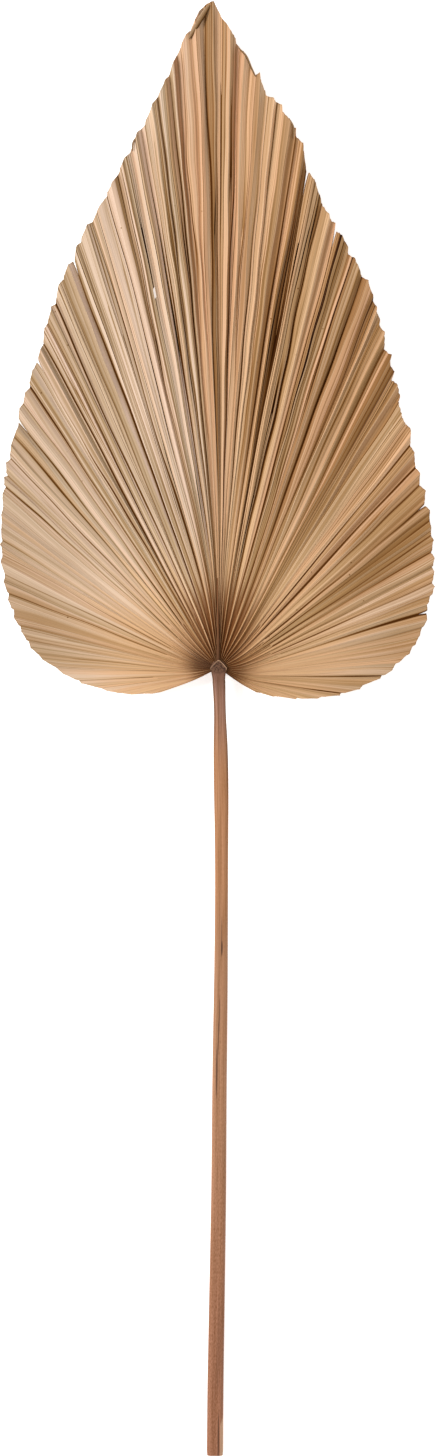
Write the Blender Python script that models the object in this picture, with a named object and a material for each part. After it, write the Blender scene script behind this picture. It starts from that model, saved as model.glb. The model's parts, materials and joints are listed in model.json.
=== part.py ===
"""A dried fan palm leaf, cut to a spear shape, lying upper side up with its long cut stalk.

X runs across the blade, Y from the cut end of the stalk to the tip, and Z up from the surface
that the leaf lies on. The blade is one pleated sheet: its folds spread from the hub, where the
stalk joins it, and all of them end at the trimmed margin. The blade comes down to the surface
along both sides, and the stalk rests on its cut end, so the hub and the tip stand a little clear.
"""

import bisect
import math
import random

import bmesh
import bpy

MM = 0.001

# From the hub to the tip of the blade.
BLADE_REACH = 549 * MM

# The trimmed margin: degrees from the middle fold, and how far from the hub the blade reaches there.
TRIM_LEFT = (
    (0.0, 543 * MM), (0.9, BLADE_REACH), (2.2, 532 * MM), (6.0, 475 * MM), (12.0, 413 * MM),
    (20.0, 359 * MM), (30.0, 299 * MM), (42.0, 255 * MM), (56.0, 217 * MM), (72.0, 182 * MM),
    (86.0, 149 * MM), (98.0, 106 * MM), (106.0, 78 * MM), (114.0, 46 * MM),
)
TRIM_RIGHT = (
    (0.0, 543 * MM), (2.0, 513 * MM), (4.0, 486 * MM), (8.0, 449 * MM), (12.0, 402 * MM),
    (16.0, 370 * MM), (22.0, 336 * MM), (30.0, 287 * MM), (40.0, 247 * MM), (56.0, 212 * MM),
    (72.0, 185 * MM), (86.0, 156 * MM), (98.0, 118 * MM), (110.0, 74 * MM), (122.0, 36 * MM),
)

# Degrees that one fold, up to its ridge and down again, takes at some directions from the middle.
PITCH_LEFT = ((0.0, 1.5), (15.0, 1.9), (30.0, 2.3), (45.0, 2.9), (60.0, 3.1), (80.0, 3.7), (110.0, 4.6))
PITCH_RIGHT = ((0.0, 1.6), (15.0, 2.0), (28.0, 2.8), (45.0, 3.0), (60.0, 3.2), (80.0, 3.8), (120.0, 4.9))
EDGE_LEFT = 108.5
EDGE_RIGHT = 117.0
PITCH_SPREAD = 0.36
DEPTH_SPREAD = 0.50
FOLD_SEED = 11

# Folds that lie deeper than the rest, as signed degrees from the middle, minus to the left.
DEEP_FOLDS = (
    -64.0, -49.7, -41.2, -34.5, -28.4, -20.7, -9.2, -5.2, 1.1, 5.7,
    8.4, 10.5, 12.7, 18.0, 20.2, 28.5, 30.6, 43.0, 51.6, 67.6,
)
DEEP_FACTOR = 2.8
DEEP_REACH = 0.9

# How far to the right of the hub the line of a fold passes, by its direction. The middle folds rise side
# by side before they spread, and those of the lobes leave the hub wider than they run on.
PASSES_HUB = (
    (-117.0, -3.5 * MM), (-80.0, -5.0 * MM), (-60.0, -5.5 * MM), (-40.0, -4.3 * MM), (-30.0, -1.8 * MM),
    (-22.0, 2.8 * MM), (-15.0, 9.0 * MM), (-8.0, 8.6 * MM), (-3.0, 5.0 * MM), (0.0, 1.8 * MM),
    (5.0, -2.8 * MM), (10.0, -2.5 * MM), (15.0, 1.3 * MM), (20.0, 4.2 * MM), (28.0, 6.2 * MM),
    (40.0, 5.5 * MM), (60.0, 7.5 * MM), (80.0, 7.5 * MM), (117.0, 4.0 * MM),
)
# Inside this radius, from the middle to the lobes, a fold bends to run straight at the hub.
BENDS_WITHIN = (
    (0.0, 100 * MM), (10.0, 84 * MM), (20.0, 53 * MM), (30.0, 33 * MM), (45.0, 25 * MM), (120.0, 25 * MM),
)
BEND_POWER = 4

BLADE_ROOT = 6.0 * MM
BANDS = 11
MARGIN_BAND = 9.5 * MM
BAND_POWER = 1.35
THICKNESS = 0.95 * MM

# Height of a ridge over the unfolded sheet as a share of a face's width, from the middle to the lobes.
FOLD_RATIO = ((0.0, 0.20), (25.0, 0.19), (55.0, 0.15), (120.0, 0.13))

# The sheet's arch, and the slow waves of a leaf that dried in the air.
HUB_HEIGHT = 22 * MM
SIDE_HEIGHT = 2.4 * MM
HALF_WIDTH = 179 * MM
TIP_LIFT = 4 * MM
# Each wave: turns of the sine for a metre across and a metre along, in radians, its start and its height.
WAVES = ((31.0, 9.0, 0.6, 1.2 * MM), (52.0, -23.0, 2.1, 0.7 * MM))

# The margin was cut through the folded leaf, so it is a fine saw edge, rougher at the right of the tip.
TOOTH = 1.0 * MM
TOOTH_ROUGH = 2.2 * MM
TOOTH_STEP = 1.2 * MM
ROUGH_FROM, ROUGH_TO = 2.0, 40.0
TEARS = (
    (-39.9, 3 * MM), (-29.7, 3 * MM), (-24.4, 3 * MM), (-19.3, 4 * MM), (10.4, 6 * MM),
    (14.6, 5 * MM), (24.3, 6 * MM), (36.5, 4 * MM), (51.0, 3 * MM), (73.0, 3 * MM),
)
TEAR_WIDTH = 0.9

# Splits that run in from the margin along a valley: signed degrees, and the share of the reach left whole.
SPLITS = (
    (-39.9, 0.88), (-29.7, 0.99), (-19.3, 0.99), (10.4, 0.99), (14.6, 0.99), (51.0, 0.99), (74.0, 0.99),
)
SPLIT_WIDTH = 1.3 * MM

# The two creases that the blade rests on, pressed flat against the surface.
REST_FOLDS = (-57.0, 64.0)
REST_FROM = 0.8
REST_WIDTH = 2.4 * MM

# The stalk: distance down from the hub, and how far its middle lies to the right there.
STALK_BEND = (
    (0.0, 0.0), (30 * MM, 1.0 * MM), (90 * MM, 2.1 * MM), (240 * MM, 2.1 * MM), (340 * MM, 0.8 * MM),
    (440 * MM, 0.0), (520 * MM, -1.3 * MM), (600 * MM, -2.6 * MM), (651 * MM, -3.0 * MM),
)
STALK_WIDTH = (
    (0.0, 10.9 * MM), (12 * MM, 10.6 * MM), (34 * MM, 9.8 * MM), (64 * MM, 11.6 * MM),
    (105 * MM, 12.0 * MM), (130 * MM, 11.4 * MM), (330 * MM, 12.0 * MM), (440 * MM, 12.4 * MM),
    (540 * MM, 13.0 * MM), (651 * MM, 13.6 * MM),
)
STALK_LENGTH = 651 * MM
STALK_FLATNESS = 0.84
# Below 1 the stalk's oval has flatter faces above and below.
STALK_SQUARENESS = 0.7
STALK_SIDES = 16
STALK_RINGS = 26
GROOVE_DEPTH = 0.8 * MM
GROOVE_WIDTH = 0.22
CUT_ROUNDING = 1.2 * MM

# Where the stalk steps down, short of the hub, to the rib that it runs out into under the blade.
SHOULDER = 5.6 * MM
RIB_START = -3 * MM
RIB_LENGTH = 84 * MM
RIB_WIDTH = 7.5 * MM
RIB_HEIGHT = 5.0 * MM
RIB_TIP = 1.4 * MM
RIB_TAPER = 0.7
RIB_RINGS = 6

# The crest where the stalk ends on the upper side, and the knot inside the blade's root.
KNOT_RADIUS = 5.6 * MM
# Heights of the knot's rings over the hub, and the share of its radius there.
KNOT_RINGS = ((-3.4 * MM, 0.75), (-1.6 * MM, 1.0), (1.0 * MM, 1.0), (1.9 * MM, 0.8))
CREST_HALF_WIDTH = 6.7 * MM
CREST_TOP = 6.5 * MM
CREST_FOOT = -14 * MM
CREST_FOOT_HALF_WIDTH = 4.6 * MM
CREST_FOOT_SINK = 1.2 * MM
CREST_POINT_HALF_WIDTH = 0.6 * MM
CREST_THICKNESS = 1.3 * MM
CREST_CROWN = 0.5 * MM
CREST_RINGS = (CREST_FOOT, -9 * MM, -5 * MM, -1 * MM, 2 * MM, 4.4 * MM, 5.8 * MM, CREST_TOP)
CLEARANCE = 0.35 * MM


def clear_scene():
    """Start from an empty file."""
    for thing in list(bpy.data.objects):
        bpy.data.objects.remove(thing, do_unlink=True)


def between(points, at):
    """A smooth curve through (place, value) points, level with their slopes, read at one place."""
    places = [place for place, _ in points]
    at = min(max(at, places[0]), places[-1])
    left = min(bisect.bisect_right(places, at) - 1, len(points) - 2)

    def run(i):
        return places[i + 1] - places[i]

    def rise(i):
        return (points[i + 1][1] - points[i][1]) / run(i)

    def slope(i):
        if i == 0:
            return rise(0)
        if i == len(points) - 1:
            return rise(i - 1)
        return (rise(i - 1) * run(i) + rise(i) * run(i - 1)) / (run(i - 1) + run(i))

    t = (at - places[left]) / run(left)
    start, end = points[left][1], points[left + 1][1]
    level = start * (2 * t ** 3 - 3 * t ** 2 + 1) + end * (3 * t ** 2 - 2 * t ** 3)
    swing = slope(left) * (t ** 3 - 2 * t ** 2 + t) + slope(left + 1) * (t ** 3 - t ** 2)
    return level + run(left) * swing


def plain_material(name, colour, roughness):
    """A one-colour surface of the part's own."""
    material = bpy.data.materials.new(name)
    material.use_nodes = True
    shader = material.node_tree.nodes["Principled BSDF"]
    shader.inputs["Base Color"].default_value = (*colour, 1.0)
    shader.inputs["Roughness"].default_value = roughness
    shader.inputs["Metallic"].default_value = 0.0
    return material


# The blade

def lean(direction, radius):
    """How far to the right of its direction a fold lies at a radius, in degrees."""
    within = between(BENDS_WITHIN, abs(direction))
    straight = (radius ** BEND_POWER + within ** BEND_POWER) ** (1 / BEND_POWER)
    return math.degrees(between(PASSES_HUB, direction) / straight)


def trim(angle):
    """Distance from the hub to the trimmed margin."""
    return between(TRIM_LEFT if angle < 0 else TRIM_RIGHT, abs(angle))


def half_pitch(direction):
    """Degrees from a ridge to the next valley."""
    return between(PITCH_LEFT if direction < 0 else PITCH_RIGHT, abs(direction)) / 2


def fold_rise(direction, radius):
    """Height of a ridge of common depth over the unfolded sheet."""
    return between(FOLD_RATIO, abs(direction)) * radius * math.radians(half_pitch(direction))


class FoldLine:
    """A ridge or a valley, from the blade's root to its margin."""

    def __init__(self, direction, is_ridge, draw):
        self.direction = direction
        self.is_ridge = is_ridge
        self.depth = 1 + DEPTH_SPREAD * draw.uniform(-1, 1)
        if not is_ridge and any(abs(direction - deep) < DEEP_REACH for deep in DEEP_FOLDS):
            self.depth *= DEEP_FACTOR
        self.opening = 0.0
        self.opens_from = BANDS
        self.filled = False
        self.end_angle, self.trimmed = self.find_trim()
        self.reach = self.trimmed + self.find_tooth(draw)

    def find_trim(self):
        """The angle at which the fold meets the trimmed margin, and its distance there."""
        angle = self.direction
        for _ in range(4):
            reach = trim(angle)
            angle = self.direction + lean(self.direction, reach)
        return angle, reach

    def find_tooth(self, draw):
        """How far the cut left this fold standing out of the margin, or short of it."""
        rough = ROUGH_FROM < self.end_angle < ROUGH_TO
        tooth = draw.uniform(-1, 1) * (TOOTH_ROUGH if rough else TOOTH)
        tooth += TOOTH_STEP if self.is_ridge else -TOOTH_STEP
        for place, depth in TEARS:
            tooth -= depth * max(0.0, 1 - abs(self.end_angle - place) / TEAR_WIDTH)
        return tooth

    def radius(self, band):
        """Distance from the hub at one band of the sheet, where only the last band has the teeth."""
        if band == BANDS:
            return self.reach
        inner = self.trimmed - MARGIN_BAND
        return BLADE_ROOT + (inner - BLADE_ROOT) * (band / (BANDS - 1)) ** BAND_POWER

    def half_opening(self, band):
        """Half the width of a split or of a flattened crease at one band."""
        if band <= self.opens_from:
            return 0.0
        return self.opening / 2 * (band - self.opens_from) / (BANDS - self.opens_from)

    def point(self, band, side):
        """A corner of the sheet's underside on this fold, to the left (-1) or right (1) of any opening."""
        radius = self.radius(band)
        angle = math.radians(self.direction + lean(self.direction, radius))
        aside = side * self.half_opening(band)
        x = radius * math.sin(angle) + aside * math.cos(angle)
        y = radius * math.cos(angle) - aside * math.sin(angle)
        fold = fold_rise(self.direction, radius) * self.depth
        middle = sheet_height(x, y, radius) + (fold if self.is_ridge else -fold)
        pressed = self.filled and band > self.opens_from
        return x, y, 0.0 if pressed else max(middle - THICKNESS / 2, 0.0)


def sheet_height(x, y, radius):
    """Height of the sheet before it is folded: an arch that lies along the surface at both sides."""
    across = min(abs(x) / HALF_WIDTH, 1.0)
    arch = SIDE_HEIGHT + (HUB_HEIGHT - SIDE_HEIGHT) * (1 + math.cos(math.pi * across)) / 2
    reach = radius / BLADE_REACH
    waves = sum(height * math.sin(across_rate * x + along_rate * y + start)
                for across_rate, along_rate, start, height in WAVES)
    return arch + TIP_LIFT * reach ** 2 + reach * waves


def fold_lines():
    """Ridges and valleys in turn from one free edge to the other, with a valley in the middle."""
    draw = random.Random(FOLD_SEED)
    sides = []
    for sign, edge in ((-1, EDGE_LEFT), (1, EDGE_RIGHT)):
        direction = 0.0
        ridge = False
        side = []
        while True:
            step = half_pitch(sign * direction)
            direction += step * (1 + PITCH_SPREAD * draw.uniform(-1, 1))
            if direction > edge - step / 2:
                break
            ridge = not ridge
            side.append(FoldLine(sign * direction, ridge, draw))
        side.append(FoldLine(sign * edge, not ridge, draw))
        sides.append(side)
    lines = sides[0][::-1] + [FoldLine(0.0, False, draw)] + sides[1]
    for place, whole in SPLITS:
        open_line(lines, place, SPLIT_WIDTH, whole, False)
    for place in REST_FOLDS:
        open_line(lines, place, REST_WIDTH, REST_FROM, True)
    return lines


def open_line(lines, place, width, whole, filled):
    """Open the valley nearest to a direction from a share of its reach outwards."""
    valleys = [line for line in lines if not line.is_ridge]
    line = min(valleys, key=lambda each: abs(each.end_angle - place))
    line.opening = width
    line.filled = filled
    line.opens_from = max(band for band in range(BANDS) if line.radius(band) <= whole * line.reach)


def add_triangles(mesh, near, far):
    """Join two rows of corners, near on the left and far on the right, by triangles that face up."""
    for band in range(len(near) - 1):
        corners = (near[band], far[band], far[band + 1], near[band + 1])
        for triple in ((0, 1, 2), (0, 2, 3)):
            triangle = [corners[i] for i in triple]
            if len(set(triangle)) == 3:
                mesh.faces.new(triangle)


def blade_mesh():
    """The pleated sheet with an even upright thickness, and its triangles alike on both faces."""
    mesh = bmesh.new()
    rows = []
    for line in fold_lines():
        left = []
        right = []
        for band in range(BANDS + 1):
            left.append(mesh.verts.new(line.point(band, -1)))
            opened = line.half_opening(band) > 0
            right.append(mesh.verts.new(line.point(band, 1)) if opened else left[-1])
        rows.append((left, right, line.filled))
    for (_, near, _), (far, _, _) in zip(rows, rows[1:]):
        add_triangles(mesh, near, far)
    for left, right, filled in rows:
        if filled:
            add_triangles(mesh, left, right)
    upper = bmesh.ops.extrude_face_region(mesh, geom=mesh.faces[:], use_keep_orig=True)["geom"]
    for part in upper:
        if isinstance(part, bmesh.types.BMVert):
            part.co.z += THICKNESS
    bmesh.ops.recalc_face_normals(mesh, faces=mesh.faces[:])
    return mesh


def make_blade():
    """The pleated blade."""
    return as_object("leaf_blade", blade_mesh(), plain_material("dry_leaf", (0.56, 0.37, 0.20), 0.6))


# The stalk

def as_object(name, mesh, material):
    """Put a bmesh into an object with one material."""
    data = bpy.data.meshes.new(name)
    mesh.to_mesh(data)
    mesh.free()
    data.materials.append(material)
    thing = bpy.data.objects.new(name, data)
    bpy.context.scene.collection.objects.link(thing)
    return thing


def loft(rings):
    """A closed body through rings of corners, all with the same count, and flat ends."""
    mesh = bmesh.new()
    loops = [[mesh.verts.new(corner) for corner in ring] for ring in rings]
    for lower, upper in zip(loops, loops[1:]):
        for i in range(len(lower)):
            after = (i + 1) % len(lower)
            mesh.faces.new((lower[i], lower[after], upper[after], upper[i]))
    mesh.faces.new(loops[0][::-1])
    mesh.faces.new(loops[-1])
    bmesh.ops.recalc_face_normals(mesh, faces=mesh.faces[:])
    return mesh


def ring_turns():
    """The corners of a ring as turns from its top, with one flat side at the bottom."""
    return [math.pi + (k + 0.5) * 2 * math.pi / STALK_SIDES for k in range(STALK_SIDES)]


def stalk_axis_height(down):
    """Height of the stalk's middle, which lies on the surface at its cut end and rises to the hub."""
    end = STALK_FLATNESS * between(STALK_WIDTH, STALK_LENGTH) / 2
    top = HUB_HEIGHT + CLEARANCE
    start = top - STALK_FLATNESS * between(STALK_WIDTH, 0.0) / 2
    return start + (end - start) * down / STALK_LENGTH


def stalk_ring(down, shrink):
    """One ring of the stalk: a flattened oval with a shallow groove along its upper side."""
    width = between(STALK_WIDTH, down) - 2 * shrink
    height = STALK_FLATNESS * width
    lowest = math.cos(math.pi / STALK_SIDES) ** STALK_SQUARENESS
    ring = []
    for turn in ring_turns():
        across = math.sin(turn) / 2
        up = math.copysign(abs(math.cos(turn)) ** STALK_SQUARENESS, math.cos(turn)) / 2 * height / lowest
        if up > 0:
            up -= GROOVE_DEPTH * math.exp(-(across / GROOVE_WIDTH) ** 2)
        z = max(stalk_axis_height(down) + up, shrink)
        ring.append((between(STALK_BEND, down) + across * width, -down, z))
    return ring


def rib_ring(up):
    """One ring of the rib under the blade, at a distance up from the hub."""
    along = max(up, 0.0)
    taper = (along / RIB_LENGTH) ** RIB_TAPER
    width = RIB_WIDTH + (RIB_TIP - RIB_WIDTH) * taper
    height = RIB_HEIGHT + (RIB_TIP - RIB_HEIGHT) * taper
    deepest = fold_rise(0.0, along) * DEEP_FACTOR * (1 + DEPTH_SPREAD)
    top = sheet_height(0.0, along, along) - deepest - THICKNESS / 2 - CLEARANCE
    ring = []
    for turn in ring_turns():
        ring.append((math.sin(turn) / 2 * width, up, top - height / 2 + math.cos(turn) / 2 * height))
    return ring


def rod_mesh():
    """The stalk from its cut end to the hub, and the rib that it runs out into."""
    lowest = STALK_LENGTH - CUT_ROUNDING
    rings = [stalk_ring(STALK_LENGTH, CUT_ROUNDING)]
    for k in range(STALK_RINGS + 1):
        rings.append(stalk_ring(lowest + (SHOULDER - lowest) * k / STALK_RINGS, 0.0))
    for k in range(RIB_RINGS + 1):
        rings.append(rib_ring(RIB_START + (RIB_LENGTH - RIB_START) * k / RIB_RINGS))
    return loft(rings)


def knot_mesh():
    """The round end of the stalk that the blade's root surrounds."""
    rings = []
    for height, share in KNOT_RINGS:
        ring = []
        for k in range(2 * STALK_SIDES):
            turn = math.pi * k / STALK_SIDES
            radius = KNOT_RADIUS * share
            ring.append((radius * math.cos(turn), radius * math.sin(turn), HUB_HEIGHT + height))
        rings.append(ring)
    return loft(rings)


def crest_half_width(y):
    """Half the width of the crest: straight sides that close in a pointed arch."""
    if y < 0:
        return CREST_HALF_WIDTH + (CREST_FOOT_HALF_WIDTH - CREST_HALF_WIDTH) * y / CREST_FOOT
    return CREST_HALF_WIDTH + (CREST_POINT_HALF_WIDTH - CREST_HALF_WIDTH) * (y / CREST_TOP) ** 1.5


def crest_mesh():
    """The small pointed flap on the upper side, over the blade's root."""
    rings = []
    for y in CREST_RINGS:
        half = crest_half_width(y)
        low = HUB_HEIGHT + THICKNESS / 2 + 1.5 * CLEARANCE
        if y == CREST_FOOT:
            low -= CREST_FOOT_SINK
        high = low + CREST_THICKNESS
        middle = (low + high) / 2
        crown = high + CREST_CROWN * (1 - max(y, 0.0) / CREST_TOP)
        upper = ((half, middle), (0.7 * half, high), (0.0, crown), (-0.7 * half, high), (-half, middle))
        rings.append([(-half, y, low), (half, y, low)] + [(x, y, z) for x, z in upper])
    return loft(rings)


def make_stalk():
    """The stalk with its rib, knot and crest joined in one body."""
    material = plain_material("dry_stalk", (0.38, 0.20, 0.11), 0.5)
    stalk = as_object("leaf_stalk", rod_mesh(), material)
    for name, mesh in (("knot", knot_mesh()), ("crest", crest_mesh())):
        piece = as_object(name, mesh, material)
        join = stalk.modifiers.new(name, "BOOLEAN")
        join.operation = "UNION"
        join.solver = "EXACT"
        join.object = piece
        bpy.context.view_layer.objects.active = stalk
        with bpy.context.temp_override(object=stalk, active_object=stalk):
            bpy.ops.object.modifier_apply(modifier=name)
        bpy.data.objects.remove(piece, do_unlink=True)
    stalk.data.shade_smooth()
    stalk.data.set_sharp_from_angle(angle=math.radians(40))
    return stalk


def stand_on_origin(things):
    """Move the meshes so that the middle of the leaf's box is over the origin."""
    corners = [vertex.co for thing in things for vertex in thing.data.vertices]
    shift = [-(min(c[axis] for c in corners) + max(c[axis] for c in corners)) / 2 for axis in (0, 1)]
    for thing in things:
        for vertex in thing.data.vertices:
            vertex.co.x += shift[0]
            vertex.co.y += shift[1]


clear_scene()
blade = make_blade()
stalk = make_stalk()
stand_on_origin((blade, stalk))
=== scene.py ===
# %% [markdown]
# A dried fan palm leaf, cut to a spear shape, lies on a pale floor with its upper side up.
# It grew as one leaf: a stalk, and a blade pleated in folds that all spread from the hub.
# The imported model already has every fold, the trimmed margin and the stalk at their real size.
# This file keeps those forms and makes the fine surface: rounded creases, veins, ragged cut ends,
# curled torn strips, dry colours, and the rib and the small flap at the hub.

# %% Load the leaf
import bisect
import contextlib
import json
import math
import random

import bpy
import numpy as np
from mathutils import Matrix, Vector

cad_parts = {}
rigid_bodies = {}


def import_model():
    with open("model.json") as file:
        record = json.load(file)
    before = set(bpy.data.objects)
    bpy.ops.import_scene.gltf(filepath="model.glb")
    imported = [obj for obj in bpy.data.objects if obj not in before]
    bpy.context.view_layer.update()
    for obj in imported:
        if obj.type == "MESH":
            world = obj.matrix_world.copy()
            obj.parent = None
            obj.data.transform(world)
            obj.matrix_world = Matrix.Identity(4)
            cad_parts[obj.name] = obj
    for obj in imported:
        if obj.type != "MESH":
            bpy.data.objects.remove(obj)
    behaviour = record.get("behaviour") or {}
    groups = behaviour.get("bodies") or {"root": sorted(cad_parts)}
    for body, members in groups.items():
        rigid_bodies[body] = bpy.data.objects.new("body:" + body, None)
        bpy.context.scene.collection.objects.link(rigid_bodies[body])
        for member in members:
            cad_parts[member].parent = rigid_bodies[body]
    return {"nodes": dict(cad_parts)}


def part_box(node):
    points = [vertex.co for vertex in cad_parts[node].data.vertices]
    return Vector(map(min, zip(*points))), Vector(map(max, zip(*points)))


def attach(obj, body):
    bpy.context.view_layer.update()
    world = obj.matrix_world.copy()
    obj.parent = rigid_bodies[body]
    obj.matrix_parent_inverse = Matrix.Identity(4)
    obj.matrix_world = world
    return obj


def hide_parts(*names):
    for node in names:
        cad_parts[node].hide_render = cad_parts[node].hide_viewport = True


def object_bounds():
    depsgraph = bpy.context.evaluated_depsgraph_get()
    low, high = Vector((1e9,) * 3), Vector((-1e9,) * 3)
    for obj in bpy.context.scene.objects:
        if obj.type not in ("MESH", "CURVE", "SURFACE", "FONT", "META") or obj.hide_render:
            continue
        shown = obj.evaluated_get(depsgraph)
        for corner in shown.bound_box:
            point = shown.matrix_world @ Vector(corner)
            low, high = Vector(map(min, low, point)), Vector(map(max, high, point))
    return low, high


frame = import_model()
MM = 0.001
cad_low, cad_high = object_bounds()
for name in sorted(frame["nodes"]):
    low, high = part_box(name)
    print(name, "spans", [round((b - a) / MM, 1) for a, b in zip(low, high)], "mm")

# %% [markdown]
# The leaf is seen from straight above with its tip away from us, as the photograph shows it.
# A long lens far away keeps the raised middle of the blade at nearly the same scale as its sides.
# The picture is as tall as the leaf, so the lens follows from the leaf's own length.

# %% Camera
PICTURE_HEIGHT = 1456
CAMERA_HEIGHT = 4.5
SENSOR = 36.0


def seen_at(y, z):
    """Where a point at height z appears on the floor's plane, for the camera over the origin."""
    return y * CAMERA_HEIGHT / (CAMERA_HEIGHT - z)


TIP_HEIGHT = 27 * MM
STALK_END_HEIGHT = 6 * MM
picture_top = seen_at(cad_high.y, TIP_HEIGHT)
picture_bottom = seen_at(cad_low.y, STALK_END_HEIGHT)
picture_span = (picture_top - picture_bottom) * PICTURE_HEIGHT / (PICTURE_HEIGHT - 1)
camera_data = bpy.data.cameras.new("camera")
camera_data.sensor_width = SENSOR
camera_data.lens = SENSOR * CAMERA_HEIGHT / picture_span
camera = bpy.data.objects.new("camera", camera_data)
camera.location = (0.0, (picture_top + picture_bottom) / 2, CAMERA_HEIGHT)
bpy.context.scene.collection.objects.link(camera)
bpy.context.scene.camera = camera
print("lens", round(camera_data.lens, 1), "mm;", round(picture_span / PICTURE_HEIGHT / MM, 3), "mm a pixel")

# %% [markdown]
# The light is a soft lamp from the left, high enough to reach into the folds, and an even white
# sky that lifts the shadows. A sun lamp with a wide angle stays the same from the tip to the cut
# end, where a lamp close by would leave one end darker.

# %% Floor and light
FLOOR_SIZE = 12.0
FLOOR_BELOW = 0.1 * MM
FLOOR_GREY = (0.93, 0.93, 0.93, 1.0)
WHITE = (1.0, 1.0, 1.0, 1.0)
KEY_COLOUR = (1.0, 0.985, 0.96)
KEY_STRENGTH = 2.0
KEY_SOFTNESS = math.radians(18)
KEY_ABOVE_FLOOR = math.radians(46)
KEY_TURN = math.radians(172)
SKY_STRENGTH = 0.68
FLOOR_GLOW = 0.6


def deselect_all():
    """Leave nothing selected, so that the next operator acts only on what it adds."""
    for thing in bpy.context.view_layer.objects:
        thing.select_set(False)


def add_floor():
    """A pale floor that the leaf lies on."""
    deselect_all()
    bpy.ops.mesh.primitive_plane_add(size=FLOOR_SIZE, location=(0.0, 0.0, -FLOOR_BELOW))
    floor = bpy.context.object
    floor.name = "floor"
    paint = bpy.data.materials.new("floor_paint")
    paint.use_nodes = True
    shader = paint.node_tree.nodes["Principled BSDF"]
    shader.inputs["Base Color"].default_value = FLOOR_GREY
    shader.inputs["Roughness"].default_value = 0.9
    shader.inputs["Emission Color"].default_value = WHITE
    shader.inputs["Emission Strength"].default_value = FLOOR_GLOW
    floor.data.materials.append(paint)


def add_light():
    """A soft lamp from the left, and a white sky."""
    lamp = bpy.data.lights.new("key", "SUN")
    lamp.energy = KEY_STRENGTH
    lamp.angle = KEY_SOFTNESS
    lamp.color = KEY_COLOUR
    key = bpy.data.objects.new("key", lamp)
    key.rotation_euler = (0.0, math.pi / 2 - KEY_ABOVE_FLOOR, KEY_TURN)
    bpy.context.scene.collection.objects.link(key)
    world = bpy.data.worlds.new("sky")
    world.use_nodes = True
    sky = world.node_tree.nodes["Background"]
    sky.inputs["Color"].default_value = WHITE
    sky.inputs["Strength"].default_value = SKY_STRENGTH
    bpy.context.scene.world = world
    bpy.context.scene.view_settings.view_transform = "Standard"


add_floor()
add_light()
print("light on the floor", round(SKY_STRENGTH + KEY_STRENGTH * math.sin(KEY_ABOVE_FLOOR) / math.pi, 2))

# %% [markdown]
# A fan palm's blade is folded like a paper fan. Each fold starts at the hub, spreads a little
# wider than its own direction and then runs straight to the margin. The folds stand closest in the
# middle and widest in the two lobes beside the stalk. These are the model's own rules and draws,
# so every ridge and valley lies where its solid has it.

# %% The outline and the folds
def in_mm(points, place_unit=1):
    """Points that end with a length in millimetres, and start with a place in a unit of its own."""
    return tuple((point[0] * place_unit, *point[1:-1], point[-1] * MM) for point in points)


BLADE_REACH = 549 * MM
TRIM_LEFT = in_mm((
    (0, 543), (0.9, 549), (2.2, 532), (6, 475), (12, 413), (20, 359), (30, 299), (42, 255), (56, 217),
    (72, 182), (86, 149), (98, 106), (106, 78), (114, 46),
))
TRIM_RIGHT = in_mm((
    (0, 543), (2, 513), (4, 486), (8, 449), (12, 402), (16, 370), (22, 336), (30, 287), (40, 247),
    (56, 212), (72, 185), (86, 156), (98, 118), (110, 74), (122, 36),
))
PITCH_LEFT = ((0, 1.5), (15, 1.9), (30, 2.3), (45, 2.9), (60, 3.1), (80, 3.7), (110, 4.6))
PITCH_RIGHT = ((0, 1.6), (15, 2), (28, 2.8), (45, 3), (60, 3.2), (80, 3.8), (120, 4.9))
EDGE_LEFT = 108.5
EDGE_RIGHT = 117.0
PITCH_SPREAD = 0.36
DEPTH_SPREAD = 0.50
FOLD_SEED = 11
DEEP_FOLDS = (
    -64, -49.7, -41.2, -34.5, -28.4, -20.7, -9.2, -5.2, 1.1, 5.7, 8.4, 10.5, 12.7, 18, 20.2, 28.5, 30.6,
    43, 51.6, 67.6,
)
DEEP_FACTOR = 2.8
DEEP_REACH = 0.9
print("outline from", len(TRIM_LEFT) + len(TRIM_RIGHT), "points,", len(DEEP_FOLDS), "deep folds")

# %% [markdown]
# The lines of the folds don't all pass through the hub: the middle ones rise side by side before
# they spread. The unfolded sheet is a low arch, which lies along the floor at both sides, with slow
# waves in it. At the margin each ridge and valley ends in its own tooth, and a few in a torn notch.

# %% The sheet and its teeth
PASSES_HUB = in_mm((
    (-117, -3.5), (-80, -5), (-60, -5.5), (-40, -4.3), (-30, -1.8), (-22, 2.8), (-15, 9), (-8, 8.6),
    (-3, 5), (0, 1.8), (5, -2.8), (10, -2.5), (15, 1.3), (20, 4.2), (28, 6.2), (40, 5.5), (60, 7.5),
    (80, 7.5), (117, 4),
))
BENDS_WITHIN = in_mm(((0, 100), (10, 84), (20, 53), (30, 33), (45, 25), (120, 25)))
BEND_POWER = 4
BLADE_ROOT = 6.0 * MM
MARGIN_BAND = 9.5 * MM
MODEL_THICKNESS = 0.95 * MM
FOLD_RATIO = ((0, 0.2), (25, 0.19), (55, 0.15), (120, 0.13))
HUB_HEIGHT = 22 * MM
SIDE_HEIGHT = 2.4 * MM
HALF_WIDTH = 179 * MM
TIP_LIFT = 4 * MM
WAVES = in_mm(((31, 9, 0.6, 1.2), (52, -23, 2.1, 0.7)))
TOOTH = 1.0 * MM
TOOTH_ROUGH = 2.2 * MM
TOOTH_STEP = 1.2 * MM
ROUGH_FROM, ROUGH_TO = 2.0, 40.0
TEARS = in_mm((
    (-39.9, 3), (-29.7, 3), (-24.4, 3), (-19.3, 4), (10.4, 6), (14.6, 5), (24.3, 6), (36.5, 4), (51, 3),
    (73, 3),
))
TEAR_WIDTH = 0.9
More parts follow.
